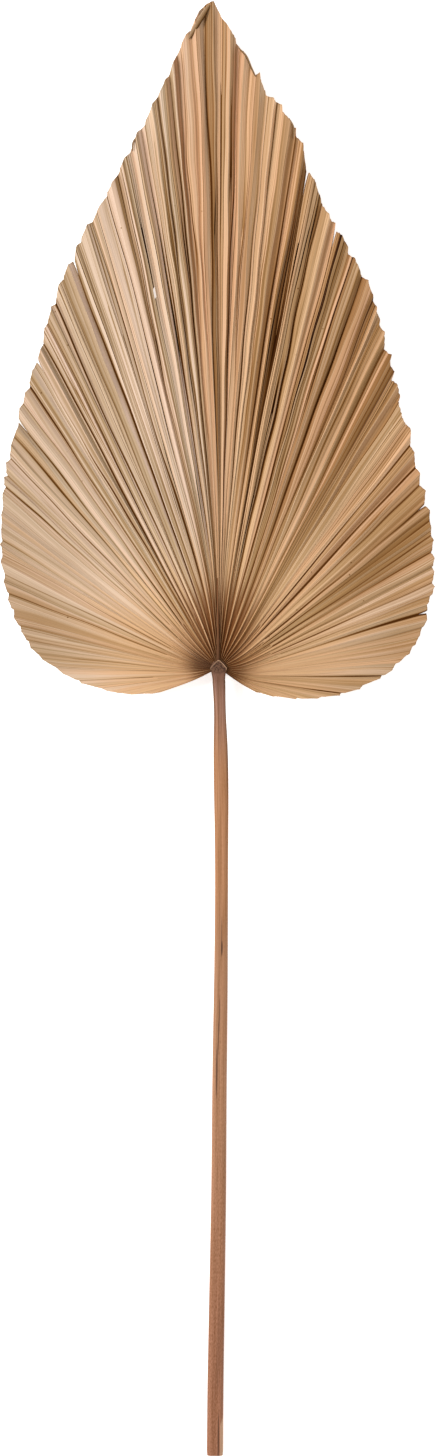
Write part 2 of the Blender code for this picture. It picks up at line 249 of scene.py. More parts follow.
print("sheet", HUB_HEIGHT / MM, "mm high at the hub, with", len(TEARS), "torn notches")

# %% [markdown]
# Each rule above is a short list of places and values, and a smooth curve runs through them. The
# curve is worked out here by hand, because a ready-made spline can swing past the points.

# %% Read the rules
def between(points, at):
    """A smooth curve through (place, value) points, level with their slopes, read at one place."""
    places = [place for place, _ in points]
    at = min(max(at, places[0]), places[-1])
    left = min(bisect.bisect_right(places, at) - 1, len(points) - 2)

    def run(i):
        return places[i + 1] - places[i]

    def rise(i):
        return (points[i + 1][1] - points[i][1]) / run(i)

    def slope(i):
        if i == 0:
            return rise(0)
        if i == len(points) - 1:
            return rise(i - 1)
        return (rise(i - 1) * run(i) + rise(i) * run(i - 1)) / (run(i - 1) + run(i))

    t = (at - places[left]) / run(left)
    start, end = points[left][1], points[left + 1][1]
    level = start * (2 * t ** 3 - 3 * t ** 2 + 1) + end * (3 * t ** 2 - 2 * t ** 3)
    swing = slope(left) * (t ** 3 - 2 * t ** 2 + t) + slope(left + 1) * (t ** 3 - t ** 2)
    return level + run(left) * swing


def lean(direction, radius):
    """How far to the right of its direction a fold lies at a radius, in degrees."""
    within = between(BENDS_WITHIN, abs(direction))
    straight = (radius ** BEND_POWER + within ** BEND_POWER) ** (1 / BEND_POWER)
    return np.degrees(between(PASSES_HUB, direction) / straight)


def trim(angle):
    """Distance from the hub to the trimmed margin."""
    return between(TRIM_LEFT if angle < 0 else TRIM_RIGHT, abs(angle))


def half_pitch(direction):
    """Degrees from a ridge to the next valley."""
    return between(PITCH_LEFT if direction < 0 else PITCH_RIGHT, abs(direction)) / 2


def fold_rise(direction, radius):
    """Height of a ridge of common depth over the unfolded sheet."""
    return between(FOLD_RATIO, abs(direction)) * radius * math.radians(half_pitch(direction))


def sheet_height(x, y, radius):
    """Height of the sheet before it is folded: an arch that lies along the floor at both sides."""
    across = np.minimum(np.abs(x) / HALF_WIDTH, 1.0)
    arch = SIDE_HEIGHT + (HUB_HEIGHT - SIDE_HEIGHT) * (1 + np.cos(math.pi * across)) / 2
    reach = radius / BLADE_REACH
    waves = sum(height * np.sin(across_rate * x + along_rate * y + start)
                for across_rate, along_rate, start, height in WAVES)
    return arch + TIP_LIFT * reach ** 2 + reach * waves


print("blade's height at the hub", round(float(sheet_height(0.0, 0.0, 0.0)) / MM, 1), "mm")

# %% [markdown]
# The folds are drawn one after the other from the middle to each free edge, ridge and valley in
# turn. The draws have a fixed seed, so they give the same folds as in the solid.

# %% Draw the folds
class FoldLine:
    """A ridge or a valley: its direction from the hub, its depth, and where the cut ended it."""

    def __init__(self, direction, is_ridge, draw):
        self.direction = direction
        self.is_ridge = is_ridge
        self.depth = 1 + DEPTH_SPREAD * draw.uniform(-1, 1)
        self.deep = not is_ridge and any(abs(direction - deep) < DEEP_REACH for deep in DEEP_FOLDS)
        if self.deep:
            self.depth *= DEEP_FACTOR
        self.end_angle = direction
        for _ in range(4):
            self.trimmed = trim(self.end_angle)
            self.end_angle = direction + lean(direction, self.trimmed)
        rough = ROUGH_FROM < self.end_angle < ROUGH_TO
        tooth = draw.uniform(-1, 1) * (TOOTH_ROUGH if rough else TOOTH)
        tooth += TOOTH_STEP if is_ridge else -TOOTH_STEP
        for place, depth in TEARS:
            tooth -= depth * max(0.0, 1 - abs(self.end_angle - place) / TEAR_WIDTH)
        self.reach = self.trimmed + tooth
        self.opening = 0.0
        self.whole = 1.0


def fold_lines():
    """Ridges and valleys of both halves, each from the middle fold to its free edge."""
    draw = random.Random(FOLD_SEED)
    halves = []
    for sign, edge in ((-1, EDGE_LEFT), (1, EDGE_RIGHT)):
        direction = 0.0
        ridge = False
        half = []
        while True:
            step = half_pitch(sign * direction)
            direction += step * (1 + PITCH_SPREAD * draw.uniform(-1, 1))
            if direction > edge - step / 2:
                break
            ridge = not ridge
            half.append(FoldLine(sign * direction, ridge, draw))
        half.append(FoldLine(sign * edge, not ridge, draw))
        halves.append(half)
    middle = FoldLine(0.0, False, draw)
    return [[middle] + half for half in halves]


left_lines, right_lines = fold_lines()
print("fold lines", len(left_lines), "on the left and", len(right_lines), "on the right")

# %% [markdown]
# The hub's place follows from the frame: the cut end of the stalk is the lowest Y of its solid, and
# the blade's solid is centred over the middle of its own two sides.

# %% Where the hub is
STALK_LENGTH = 651 * MM


def end_point(line):
    """The end of a fold at the margin, seen from the hub."""
    angle = math.radians(line.direction + lean(line.direction, line.reach))
    return line.reach * math.sin(angle), line.reach * math.cos(angle)


ends = [end_point(line)[0] for line in left_lines + right_lines]
blade_low, blade_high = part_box("leaf_blade")
HUB_X = (blade_low.x + blade_high.x) / 2 - (min(ends) + max(ends)) / 2
HUB_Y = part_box("leaf_stalk")[0].y + STALK_LENGTH
print("hub at", round(HUB_X / MM, 2), round(HUB_Y / MM, 2), "mm")

# %% [markdown]
# Each half of the blade starts as a flat grid. One row of its corners becomes one step out from the
# hub, and one column becomes one line along a fold, so bending the grid by the rules above gives
# the whole pleated sheet with even faces. Columns stand closer beside each crease, because that is
# where the real leaf turns. A grid that was folded by hand would need some 160 creases set one by
# one, and a subdivided copy of the solid would round its creases away.

# %% A flat grid
FACE_SHARES = np.array((0.0, 0.05, 0.15, 0.3, 0.5, 0.7, 0.85, 0.95, 1.0))
PER_FACE = len(FACE_SHARES) - 1
BODY_ROWS = 59
ROWS = BODY_ROWS + 5


@contextlib.contextmanager
def edit_mode(select):
    """Edit mode for the operators of a with block, with all of the mesh selected, none, or as it is."""
    bpy.ops.object.mode_set(mode="EDIT")
    if select:
        bpy.ops.mesh.select_all(action=select)
    yield
    bpy.ops.object.mode_set(mode="OBJECT")


def places_of(thing, columns, rows):
    """The column and the row of each corner of a flat grid."""
    flat = np.empty(len(thing.data.vertices) * 3)
    thing.data.vertices.foreach_get("co", flat)
    flat = flat.reshape(-1, 3)
    return tuple(np.rint((flat[:, k] + 0.5) * count).astype(int) for k, count in enumerate((columns, rows)))


def grid_sheet(name, columns, rows):
    """A flat grid, and the column and the row of each of its corners."""
    deselect_all()
    bpy.ops.mesh.primitive_grid_add(x_subdivisions=columns, y_subdivisions=rows, size=1.0)
    sheet = bpy.context.object
    sheet.name = name
    return sheet, *places_of(sheet, columns, rows)


print(ROWS, "rows from the root to the margin,", PER_FACE, "columns to each face of a fold")

# %% [markdown]
# The dry blade has split at its margin along a few valleys, and something ate a small hole through
# one face. Both are made while the grid is flat: the edges of a split are parted and the faces of
# the hole deleted, and the bending then opens each split as wide as it should be.

# %% Part the grid
# Where it is split: the signed degrees, the share of the reach left whole, and the width at the margin.
SPLITS = in_mm((
    (-39.9, 0.955, 1.2), (-29.7, 0.97, 1.5), (-19.3, 0.97, 1.4), (10.4, 0.965, 1.9), (14.6, 0.97, 1.7),
    (51, 0.97, 1.4), (74, 0.965, 1.6),
))
HOLE_DIRECTION = -11.6
HOLE_ROWS = (46, 47)
HOLE_COLUMNS = (3, 5)
ROW_POWER = 1.25


def open_splits(lines):
    """Open the valleys nearest to the splits in one half, from a share of their reach outwards."""
    opened = []
    for place, whole, width in SPLITS:
        if place * lines[1].direction > 0:
            valleys = [k for k, line in enumerate(lines) if not line.is_ridge]
            k = min(valleys, key=lambda each: abs(lines[each].end_angle - place))
            lines[k].opening = width
            lines[k].whole = whole
            lines[k].deep = True
            opened.append(k)
    return opened


def part_grid(sheet, columns, lines, opened):
    """Part the grid along its splits, and take out the faces of the hole if it is in this half."""
    column, row = places_of(sheet, columns, ROWS)
    first_row = {k * PER_FACE: int(BODY_ROWS * lines[k].whole ** (1 / ROW_POWER)) for k in opened}
    with edit_mode("DESELECT"):
        bpy.ops.mesh.select_mode(type="EDGE")
    for edge in sheet.data.edges:
        a, b = edge.vertices
        edge.select = column[a] == column[b] and min(row[a], row[b]) >= first_row.get(column[a], ROWS)
    with edit_mode(None):
        bpy.ops.mesh.edge_split(type="EDGE")
        bpy.ops.mesh.select_mode(type="FACE")
        bpy.ops.mesh.select_all(action="DESELECT")
    if HOLE_DIRECTION * lines[1].direction > 0:
        face = max(k for k, line in enumerate(lines) if abs(line.direction) <= abs(HOLE_DIRECTION))
        column, row = places_of(sheet, columns, ROWS)
        for polygon in sheet.data.polygons:
            own = [column[v] - face * PER_FACE for v in polygon.vertices]
            out = [row[v] for v in polygon.vertices]
            inside = min(own) >= HOLE_COLUMNS[0] and max(own) <= HOLE_COLUMNS[1]
            polygon.select = inside and min(out) >= HOLE_ROWS[0] and max(out) <= HOLE_ROWS[1]
        with edit_mode(None):
            bpy.ops.mesh.delete(type="FACE")


def own_faces(sheet, columns):
    """For each corner: its column and row, its face of a fold, and how far across that face it is."""
    column, row = places_of(sheet, columns, ROWS)
    corners = np.empty(len(sheet.data.loops), dtype=int)
    sheet.data.loops.foreach_get("vertex_index", corners)
    quads = corners.reshape(-1, 4)
    middle = np.repeat(column[quads].mean(axis=1), 4)
    total = np.bincount(corners, weights=middle, minlength=len(column))
    count = np.bincount(corners, minlength=len(column))
    pull = total / np.maximum(count, 1) - column
    face = np.floor((column + 0.3 * pull) / PER_FACE).astype(int)
    return column, row, face, FACE_SHARES[column - face * PER_FACE]


# %% [markdown]
# On the real leaf no two folds are alike: they wander a little, some are deep and dark, others almost
# flat. Each line of a fold is worked out row by row, from the root to the margin: where it lies, how
# far it stands above or below the sheet, and how dark its valley is painted, for the dried sap and
# for the shade deep in it. Near the hub the folds are pinched together, so their ridges stand higher
# there than their width alone would give.

# %% One fold, row by row
PINCH = 0.75 * MM
PINCH_AT, PINCH_REACH = 30 * MM, 32 * MM
NEAR_REACH = 75 * MM
DEEPEST_FROM = 280 * MM
FULL_TURN = 6.3
# By direction: the folds that are gathered tight above the hub, and how dark the sap lines and the painted
# shade in the valleys are.
GATHERED_FOLDS = ((-52, -44, -14, -5), (0, 1, 1, 0))
STAIN_AND_SHADE_BY_DIRECTION = ((-60, -42, -30, -20, 40, 62), (0.45, 0.42, 0.7, 1.0, 0.9, 0.65))
STRAIGHT_LINES = (0.0, EDGE_LEFT, EDGE_RIGHT)


def row_radii(line):
    """Distance from the hub of each row on a fold, where only the last rows have the teeth."""
    inner = line.trimmed - MARGIN_BAND
    body = BLADE_ROOT + (inner - BLADE_ROOT) * np.linspace(0, 1, BODY_ROWS + 1) ** ROW_POWER
    band = inner + (line.reach - inner) * np.linspace(0, 1, ROWS - BODY_ROWS + 1)[1:]
    return np.concatenate([body, band])


def wave(radius, draw, shortest, longest):
    """A wave along a fold, with a length between two, and a random start."""
    return np.sin(2 * math.pi * radius / draw.uniform(shortest, longest) + draw.uniform(0, FULL_TURN))


class FoldRun:
    """One fold line row by row: where it lies, and how far it stands above or below the sheet."""

    def __init__(self, line, place, draw):
        self.radius = row_radii(line)
        wander = 0.12 * math.sin(draw.uniform(0, FULL_TURN))
        wander = wander + draw.choice((0.1, 0.16, 0.3)) * wave(self.radius, draw, 0.16, 0.42)
        wander += draw.uniform(0.02, 0.1) * wave(self.radius, draw, 0.05, 0.12)
        fade = 1 - (self.radius / line.reach) ** 8
        turned = wander * fade * half_pitch(line.direction)
        if abs(line.direction) in STRAIGHT_LINES:
            turned = 0.0 * self.radius
        angle = np.radians(line.direction + lean(line.direction, self.radius) + turned)
        self.across_x, self.across_y = np.cos(angle), -np.sin(angle)
        self.x, self.y = self.radius * np.sin(angle), self.radius * np.cos(angle)
        self.raise_line(line, place, draw)
        opened = (self.radius - line.whole * line.reach) / (line.reach * (1.0001 - line.whole))
        self.half_opening = line.opening / 2 * np.clip(opened, 0, 1)
        self.reach = np.full(ROWS + 1, line.reach)
        self.stain_and_shade = self.stain_and_shade_for(line, draw)

    def raise_line(self, line, place, draw):
        """How far the line stands from the sheet: ridges above, valleys below, some flat near the hub."""
        pulse = 1 + (0.15 if line.deep else 0.4) * wave(self.radius, draw, 0.14, 0.4)
        early = 1.0 if line.deep else draw.uniform(0.2, 1.0)
        pulse = pulse * (early + (1 - early) * np.clip(self.radius / DEEPEST_FROM, 0, 1))
        height = fold_rise(line.direction, self.radius) * line.depth * pulse
        pinch = PINCH * np.exp(-((self.radius - PINCH_AT) / PINCH_REACH) ** 2)
        near = np.exp(-(self.radius / NEAR_REACH) ** 3)
        self.lift = height + pinch if line.is_ridge else -height - pinch
        if place % 4 == 1:
            self.lift = height - (height + 1.6 * pinch) * near
        if place == 0:
            self.lift = -height * (1 - near) + 0.7 * pinch * near
        self.crest = height + pinch

    def stain_and_shade_for(self, line, draw):
        """How dark the sap line and the painted shade in a valley are: strongest in the middle folds, and
        fading to the margin.
        """
        if line.is_ridge:
            return 0.0 * self.radius
        out = self.radius / line.reach
        open_at, half_long = draw.uniform(0.1, 0.95), draw.uniform(0.12, 0.4)
        wide_open = np.exp(-((out - open_at) / half_long) ** 2)
        along = 0.55 + 0.1 * np.sin(self.radius * draw.uniform(20, 60)) + 0.75 * wide_open
        to_lobes = np.interp(abs(line.direction), (15, 40), (-0.3, 0.6))
        near = np.clip(self.radius / (50 * MM), 0.5, 1) + np.clip((out - 0.72) / 0.2, 0, 1) * to_lobes
        gathered = np.interp(line.direction, *GATHERED_FOLDS) * np.exp(-(self.radius / 0.15) ** 2)
        strongest = 1.0 if line.deep else draw.choice((0.2, 0.5, 0.9))
        return (strongest * along + 0.5 * gathered) * near * np.interp(line.direction, *STAIN_AND_SHADE_BY_DIRECTION)


print("the middle fold's last rows", np.round(row_radii(left_lines[0])[-3:] / MM, 1), "mm from the hub")

# %% [markdown]
# Every corner of a half lies between two fold lines. Its place is mixed from theirs by how far
# across the face it is, and one draw for each face makes no two faces alike.

# %% Between two fold lines
class HalfBlade:
    """The corners of one half's grid, with the two fold lines that each of them lies between."""

    def __init__(self, sheet, columns, lines, draw):
        self.columns, self.lines, self.draw = columns, lines, draw
        self.side = 1 if lines[1].direction > 0 else -1
        self.column, self.row, self.face, self.q = own_faces(sheet, columns)
        self.runs = [FoldRun(line, place, draw) for place, line in enumerate(lines)]
        self.radius, self.reach = self.mix("radius"), self.mix("reach")
        self.near_open, self.far_open = self.across("half_opening")
        near_x, far_x = self.across("x")
        near_y, far_y = self.across("y")
        self.width = np.hypot(far_x - near_x, far_y - near_y)

    def across(self, name):
        """A number of the fold lines at both sides of each corner's face."""
        table = np.stack([getattr(run, name) for run in self.runs])
        return table[self.face, self.row], table[self.face + 1, self.row]

    def mix(self, name):
        """The same number mixed by how far across the face the corner is."""
        near, far = self.across(name)
        return near * (1 - self.q) + far * self.q

    def drawn(self, pick, *values):
        """One draw for each face of a fold, at all of its corners."""
        return np.array([pick(*values) for _ in range(len(self.lines) - 1)])[self.face]


print("faces of the folds:", len(left_lines) - 1, "on the left and", len(right_lines) - 1, "on the right")


# %% [markdown]
# The faces are raised: creases get a small radius, the shaded face of a ridge hangs, and a second
# crease bows each face in or out. At the margin the last rows are frayed, most of all on the right
# side near the tip, where the cut ran across the fibres.

# %% Raise and fray the faces
RIDGE_ROUNDING = 0.07
VALLEY_ROUNDING = 0.05
OVERHANG, BACK_HANG = (0.3, 1.3), (-0.25, 0.1)
CREASE_COLUMNS = (3, 4, 5)
CREASE_SIDES = (0.0, 1.0, -1.0, 1.0, -1.0)
CREASE_BOW = (0.1, 0.26)
CREASE_FROM, CREASE_WITHIN = (0.05, 0.25), 0.12
LIP_RISE = 1.125
RAGGED, SPIKE = 0.7 * MM, 3.2 * MM
SPIKES = (0.0, 0.5, 1.0, 1.6)
FRAYED_ROWS = 4
CALMLY_CUT = 0.35


def profile(share, hang):
    """Height from valley (0) to ridge (1) across a face, with rounded creases, hanging from the ridge."""
    ridge = 1 - RIDGE_ROUNDING / 2 - (1 - share) ** 2 / (2 * RIDGE_ROUNDING)
    valley = VALLEY_ROUNDING / 2 + share ** 2 / (2 * VALLEY_ROUNDING)
    plain = np.where(share > 1 - RIDGE_ROUNDING, ridge, np.where(share < VALLEY_ROUNDING, valley, share))
    return plain ** (1 + hang)


def raise_faces(half):
    """How far each corner stands above or below the sheet."""
    q, draw = half.q, half.draw
    near_lift, far_lift = half.across("lift")
    ridge_first = near_lift > far_lift
    half.toward_ridge = np.where(ridge_first, 1 - q, q)
    low, high = np.minimum(near_lift, far_lift), np.maximum(near_lift, far_lift)
    shaded = ridge_first if half.side > 0 else ~ridge_first
    over, back = half.drawn(draw.uniform, *OVERHANG), half.drawn(draw.uniform, *BACK_HANG)
    lift = low + (high - low) * profile(half.toward_ridge, np.where(shaded, over, back))
    crease_at = half.drawn(lambda: FACE_SHARES[draw.choice(CREASE_COLUMNS)])
    crease = half.drawn(lambda: draw.choice(CREASE_SIDES) * draw.uniform(*CREASE_BOW))
    grown = np.clip((half.radius - half.drawn(draw.uniform, *CREASE_FROM)) / CREASE_WITHIN, 0, 1)
    lift += half.width * crease * grown * np.minimum(q / crease_at, (1 - q) / (1 - crease_at))
    return lift + LIP_RISE * np.where(q < 0.5, -half.near_open, half.far_open) * np.abs(2 * q - 1)


def fray(half, x, y):
    """How far the cut end at each corner stands out or in."""
    draw = half.draw
    ragged = np.array([draw.uniform(-1, 1) for _ in range(half.columns + 1)])[half.column]
    across_fibres = (half.side > 0) & (x / np.maximum(y, 1 * MM) < 0.8) & (y > 0)
    spike = half.drawn(draw.choice, SPIKES) * np.minimum(half.q / 0.9, (1 - half.q) / 0.1) ** 1.5
    at_margin = np.clip(half.row - (ROWS - FRAYED_ROWS), 0, FRAYED_ROWS) / FRAYED_ROWS
    return np.where(across_fibres, 1.0, CALMLY_CUT) * (RAGGED * ragged + SPIKE * (spike - 0.35)) * at_margin


print("heights across a face", np.round(profile(FACE_SHARES, 0.0), 2))


# %% [markdown]
# The finish later needs to know where on the leaf it is, so each corner keeps a few numbers: its
# distance from ridge, valley and margin, how deep it lies, which sets the painted shade between the
# folds at the hub, how much sap stain and painted shade its valley gets, and its face's tones. The
# photographed leaf is paler and cooler on its left than on its right, and its middle is the most
# uneven, so these tones follow the direction from the middle. Part of that lightness is painted
# light: the right side, away from the lamp, is made darker.

# %% Keep numbers on the corners
# How warm, and how much lighter, the dry leaf is by direction from the middle; the lightness is partly
# painted light, darker on the right, away from the lamp.
WARMTH = (
    (-110, -0.45), (-60, -0.45), (-25, -0.95), (-10, -0.6), (0, 1.1), (12, 1), (40, 0.8), (80, 0.35),
    (118, 0.2),
)
LIGHTNESS = (
    (-110, 0), (-70, 0), (-35, 0.02), (-15, 0.05), (3, 0.25), (10, -0.1), (30, -0.1), (70, -0.25),
    (118, -0.29),
)
# How strongly its strips differ there, and beyond which radius they differ less.
CONTRAST = (
    (-118, 0.65), (-70, 0.65), (-48, 0.65), (-35, 0.9), (-25, 1.6), (-15, 2.1), (15, 2), (30, 1.5),
    (45, 0.9), (70, 0.75), (118, 0.7),
)
CALM_BEYOND = 0.36
CALM_WITHIN = 0.1
CALM_SHARE = 0.7


def keep(sheet, numbers):
    """Keep numbers on the corners of a mesh, each a list for all corners or one for every corner."""
    for key, values in numbers.items():
        attribute = sheet.data.attributes.new(key, "FLOAT", "POINT")
        attribute.data.foreach_set("value", np.zeros(len(sheet.data.vertices)) + values)


def leaf_numbers(half, lift):
    """What the leaf's finish reads at each corner."""
    draw, radius, width = half.draw, half.radius, half.width
    middles = [(a.direction + b.direction) / 2 for a, b in zip(half.lines, half.lines[1:])]
    direction = np.array(middles)[half.face]
    calm = np.interp(radius, (CALM_BEYOND, CALM_BEYOND + CALM_WITHIN), (1, CALM_SHARE))
    rate, start = half.drawn(draw.uniform, 9, 30), half.drawn(draw.uniform, 0, FULL_TURN)
    slow = 0.5 * np.sin(radius * rate + start)
    crest = half.mix("crest")
    numbers = {
        "sunk": np.clip((crest - lift) / (2 * crest + 0.2 * MM), 0, 1),
        "strip": half.side * (half.face + half.q), "radius": radius,
        "broad": np.interp(direction, *zip(*LIGHTNESS)),
        "contrast": np.interp(direction, *zip(*CONTRAST)) * calm,
        "ridge_mm": (1 - half.toward_ridge) * width / MM, "valley_mm": half.toward_ridge * width / MM,
        "edge_mm": (half.reach - radius) / MM, "stain_and_shade": np.maximum(*half.across("stain_and_shade")),
        "warm": np.interp(direction, *zip(*WARMTH)) + 0.45 * half.drawn(draw.uniform, -1, 1),
    }
    reddish = half.drawn(draw.uniform, -1, 1) + 0.5 * slow
    numbers["red"] = reddish * np.interp(abs(direction), (35, 60), (1, 0.3))
    numbers["tone"] = half.drawn(draw.uniform, -1, 1) * 0.8 + 0.4 * slow
    return numbers


print("tones are set for", len(WARMTH) + len(LIGHTNESS) + len(CONTRAST), "directions")


# %% [markdown]
# A sheet is pushed straight down by the leaf's thickness, which closes it all round, also along the
# splits and the hole. A modifier would push along the faces' normals and bulge in sharp creases.

# %% Give a sheet its thickness
LEAF_THICKNESS = 0.45 * MM


def select_only(thing):
    """Make one object the only one that the next operators act on."""
    deselect_all()
    thing.select_set(True)
    bpy.context.view_layer.objects.active = thing


def face_outward(thing, sharp_angle):
    """Turn all faces outwards and smooth them, but for edges sharper than an angle in degrees."""
    select_only(thing)
    with edit_mode("SELECT"):
        bpy.ops.mesh.normals_make_consistent(inside=False)
    bpy.ops.object.shade_smooth_by_angle(angle=math.radians(sharp_angle))


def thicken(sheet, thickness=LEAF_THICKNESS, sharp_angle=55):
    """Give a sheet its thickness straight down, which closes it, and mark its underside."""
    select_only(sheet)
    sheet.data.attributes.new("under", "FLOAT", "POINT")
    with edit_mode("SELECT"):
        bpy.ops.mesh.extrude_region_move(TRANSFORM_OT_translate={"value": (0.0, 0.0, -thickness)})
    moved = [1.0 if vertex.select else 0.0 for vertex in sheet.data.vertices]
    sheet.data.attributes["under"].data.foreach_set("value", moved)
    face_outward(sheet, sharp_angle)


print("the sheet will be", LEAF_THICKNESS / MM, "mm thick")

# %% [markdown]
# Now the two grids are bent with the tools above, the left half first, as all their small
# differences come from one row of draws.

# %% Make both halves
LOOK_SEED = 23


def bend_half(sheet, columns, lines, draw):
    """Bend a parted grid into half a blade."""
    half = HalfBlade(sheet, columns, lines, draw)
    aside = half.side * (half.near_open * (1 - half.q) ** 2 - half.far_open * half.q ** 2)
    x = half.mix("x") + aside * half.mix("across_x")
    y = half.mix("y") + aside * half.mix("across_y")
    lift = raise_faces(half)
    fringe = fray(half, x, y)
    x += fringe * x / half.radius
    y += fringe * y / half.radius
    underside = np.maximum(sheet_height(x, y, half.radius) + lift - MODEL_THICKNESS / 2, 0.0)
    corners = np.stack([x + HUB_X, y + HUB_Y, underside + LEAF_THICKNESS], axis=1)
    sheet.data.vertices.foreach_set("co", corners.ravel())
    keep(sheet, leaf_numbers(half, lift))


look = random.Random(LOOK_SEED)
halves = []
for name, lines in (("blade_left", left_lines), ("blade_right", right_lines)):
    columns = (len(lines) - 1) * PER_FACE
    half = grid_sheet(name, columns, ROWS)[0]
    part_grid(half, columns, lines, open_splits(lines))
    bend_half(half, columns, lines, look)
    thicken(half)
    halves.append(half)
    print(name, len(half.data.polygons) * 2, "triangles")

# %% [markdown]
# Where the scissors or the wind tore the margin, thin strips hang on and have dried into curls. Each
# is a narrow grid that is laid along a few points seen in the photograph and rolled about its own
# length. The rib, which the stalk sends up from the hub, can be made in the same way.

# %% Bend a narrow strip
STRIP_COLUMNS, STRIP_ROWS = 8, 36


def bend_strip(name, points, half_width, roll):
    """A strip along points over the blade, rolled about its length, and each corner's two shares."""
    strip, column, row = grid_sheet(name, STRIP_COLUMNS, STRIP_ROWS)
    across, along = 2 * column / STRIP_COLUMNS - 1, row / STRIP_ROWS
    stations = [k / (len(points) - 1) for k in range(len(points))]
    path = [list(zip(stations, [point[axis] * MM for point in points])) for axis in range(3)]
    for vertex, side, at in zip(strip.data.vertices, across, along):
        x, y, rise = (between(line, at) for line in path)
        ahead_x, ahead_y = (between(line, at + 0.01) - between(line, at - 0.01) for line in path[:2])
        length = math.hypot(ahead_x, ahead_y)
        half = half_width(at)
        turn = roll * side
        out = half * math.sin(turn) / roll
        x += out * ahead_y / length
        y -= out * ahead_x / length
        rise += half * (math.cos(turn) - 1) / abs(roll)
        ground = float(sheet_height(x - HUB_X, y - HUB_Y, math.hypot(x - HUB_X, y - HUB_Y)))
        vertex.co = (x, y, ground + rise)
    return strip, across, along


print("each strip starts with", STRIP_COLUMNS * STRIP_ROWS, "faces")

# %% [markdown]
# One strip hangs at the tip, one below it on the right, and one at a torn notch on each side. Each is
# an arch across its width, so its middle stands off the blade and throws a little shadow.

# %% The torn strips and the rib
# Each strip: its points in the frame (mm) with their height over the sheet, half its width, and its roll.
TORN_STRIPS = {
    "curl_tip": (((-23.5, 569, 1.4), (-17.2, 580, 3.4), (-11.6, 589, 3.4), (-6.6, 596.5, 1.6)), 2.7, 0.95),
    "curl_right": (((17.0, 562, 0.4), (23.5, 555, 2.2), (27.5, 546, 2.4), (31.5, 538, 0.6)), 1.2, -1.4),
    "curl_tear": (((59.0, 504, 0.6), (62.6, 496, 2.4), (62.3, 487, 1.0)), 1.3, -1.6),
    "curl_left": (((-65.5, 490, 0.6), (-69.5, 484, 2.2), (-70.0, 477, 0.8)), 1.1, 1.5),
}
RIB_POINTS = ((0.4, 55.0, 1.0), (0.4, 74.0, 1.3), (0.2, 92.0, 1.1), (0.0, 125.0, 0.2))
RIB_HALF_WIDTHS = in_mm(((0, 2), (0.3, 1.4), (1, 0.4)))
RIB_ROLL = 0.9
# What the finish reads on a torn strip, where there is no fold, sap stain, painted valley shade or margin
# near.
PLAIN = {
    "contrast": 1.0, "ridge_mm": 5.0, "valley_mm": 5.0, "edge_mm": 5.0, "stain_and_shade": 0.0, "sunk": 0.0,
    "red": 1.0, "tone": 0.0, "warm": -1.0,
}


def torn_half_width(widest):
    """Half the width along a torn strip, which narrows to both ends."""
    return lambda at: widest * MM * (0.25 + 0.75 * math.sin(math.pi * min(max(at, 0.0), 1.0)) ** 0.5)


strips = []
for name, (points, widest, roll) in TORN_STRIPS.items():
    strip, across, along = bend_strip(name, points, torn_half_width(widest), roll)
    own = {"strip": 90 + across * 2, "radius": 0.4 + along * 0.05, "broad": -0.42 - 0.3 * across}
    keep(strip, PLAIN | own)
    thicken(strip)
    strips.append(strip)
rib, across, along = bend_strip("rib", RIB_POINTS, lambda at: between(RIB_HALF_WIDTHS, at), RIB_ROLL)
keep(rib, {"strip": across, "radius": along})
thicken(rib)
strips.append(rib)
print(len(strips), "strips of", len(rib.data.polygons) * 2, "triangles")

# %% [markdown]
# The stalk is a long, slightly flattened rod with a shallow groove, a little bent, and it runs out
# into a thin rib under the blade. A cylinder with many rings is bent to the model's own widths.

# %% The stalk's sizes
STALK_BEND = in_mm((
    (0, 0), (30, 1), (90, 2.1), (240, 2.1), (340, 0.8), (440, 0), (520, -1.3), (600, -2.6), (651, -3),
), MM)
STALK_WIDTH = in_mm((
    (0, 10.9), (12, 10.6), (34, 9.8), (64, 11.6), (105, 12), (130, 11.4), (330, 12), (440, 12.4),
    (540, 13), (651, 13.6),
), MM)
STALK_FLATNESS = 0.84
STALK_SQUARENESS = 0.7
GROOVE_DEPTH = 0.8 * MM
GROOVE_WIDTH = 0.22
CUT_ROUNDING = 1.2 * MM
CUT_FLATNESS = 0.8
CLEARANCE = 0.35 * MM
SHOULDER = 5.6 * MM
RIB_START = 3 * MM
RIB_LENGTH = 84 * MM
RIB_WIDTH = 7.5 * MM
RIB_HEIGHT = 5.0 * MM
RIB_TIP = 1.4 * MM
RIB_TAPER = 0.7


def flattened(turn):
    """Height on the stalk's outline, an oval with flat faces, at a turn from its top, as a share."""
    return math.copysign(abs(math.cos(turn)) ** STALK_SQUARENESS / 2, math.cos(turn))


def stalk_axis_height(down):
    """Height of the stalk's middle, which lies on the floor at its cut end and rises to the hub."""
    end = STALK_FLATNESS * between(STALK_WIDTH, STALK_LENGTH) / 2
    start = HUB_HEIGHT + CLEARANCE - STALK_FLATNESS * between(STALK_WIDTH, 0.0) / 2
    return start + (end - start) * down / STALK_LENGTH


def rib_size(up):
    """Width and height of the rib at a distance up from the hub, and the height of its top."""
    along = max(up, 0.0)
    taper = (along / RIB_LENGTH) ** RIB_TAPER
    width = RIB_WIDTH + (RIB_TIP - RIB_WIDTH) * taper
    height = RIB_HEIGHT + (RIB_TIP - RIB_HEIGHT) * taper
    fold = fold_rise(0.0, along) * DEEP_FACTOR * (1 + DEPTH_SPREAD)
    top = float(sheet_height(0.0, along, along)) - fold - MODEL_THICKNESS / 2 - CLEARANCE
    return width, height, top


print("top of the rib under the blade", round(rib_size(RIB_LENGTH)[2] / MM, 1), "mm high at its end")

# %% [markdown]
# The cylinder's rings are placed one by one: four that round the cut end, many along the stalk, and
# a few along the rib under the blade. Fine fibres run along it, and its corners keep the turn from
# the top and the distance from the hub for the finish.

# %% Bend a cylinder into the stalk
STALK_SIDES = 72
STALK_STEPS = 230
END_STEPS = 4
RIB_STEPS = 12
FIBRE_DEPTH = 0.10 * MM


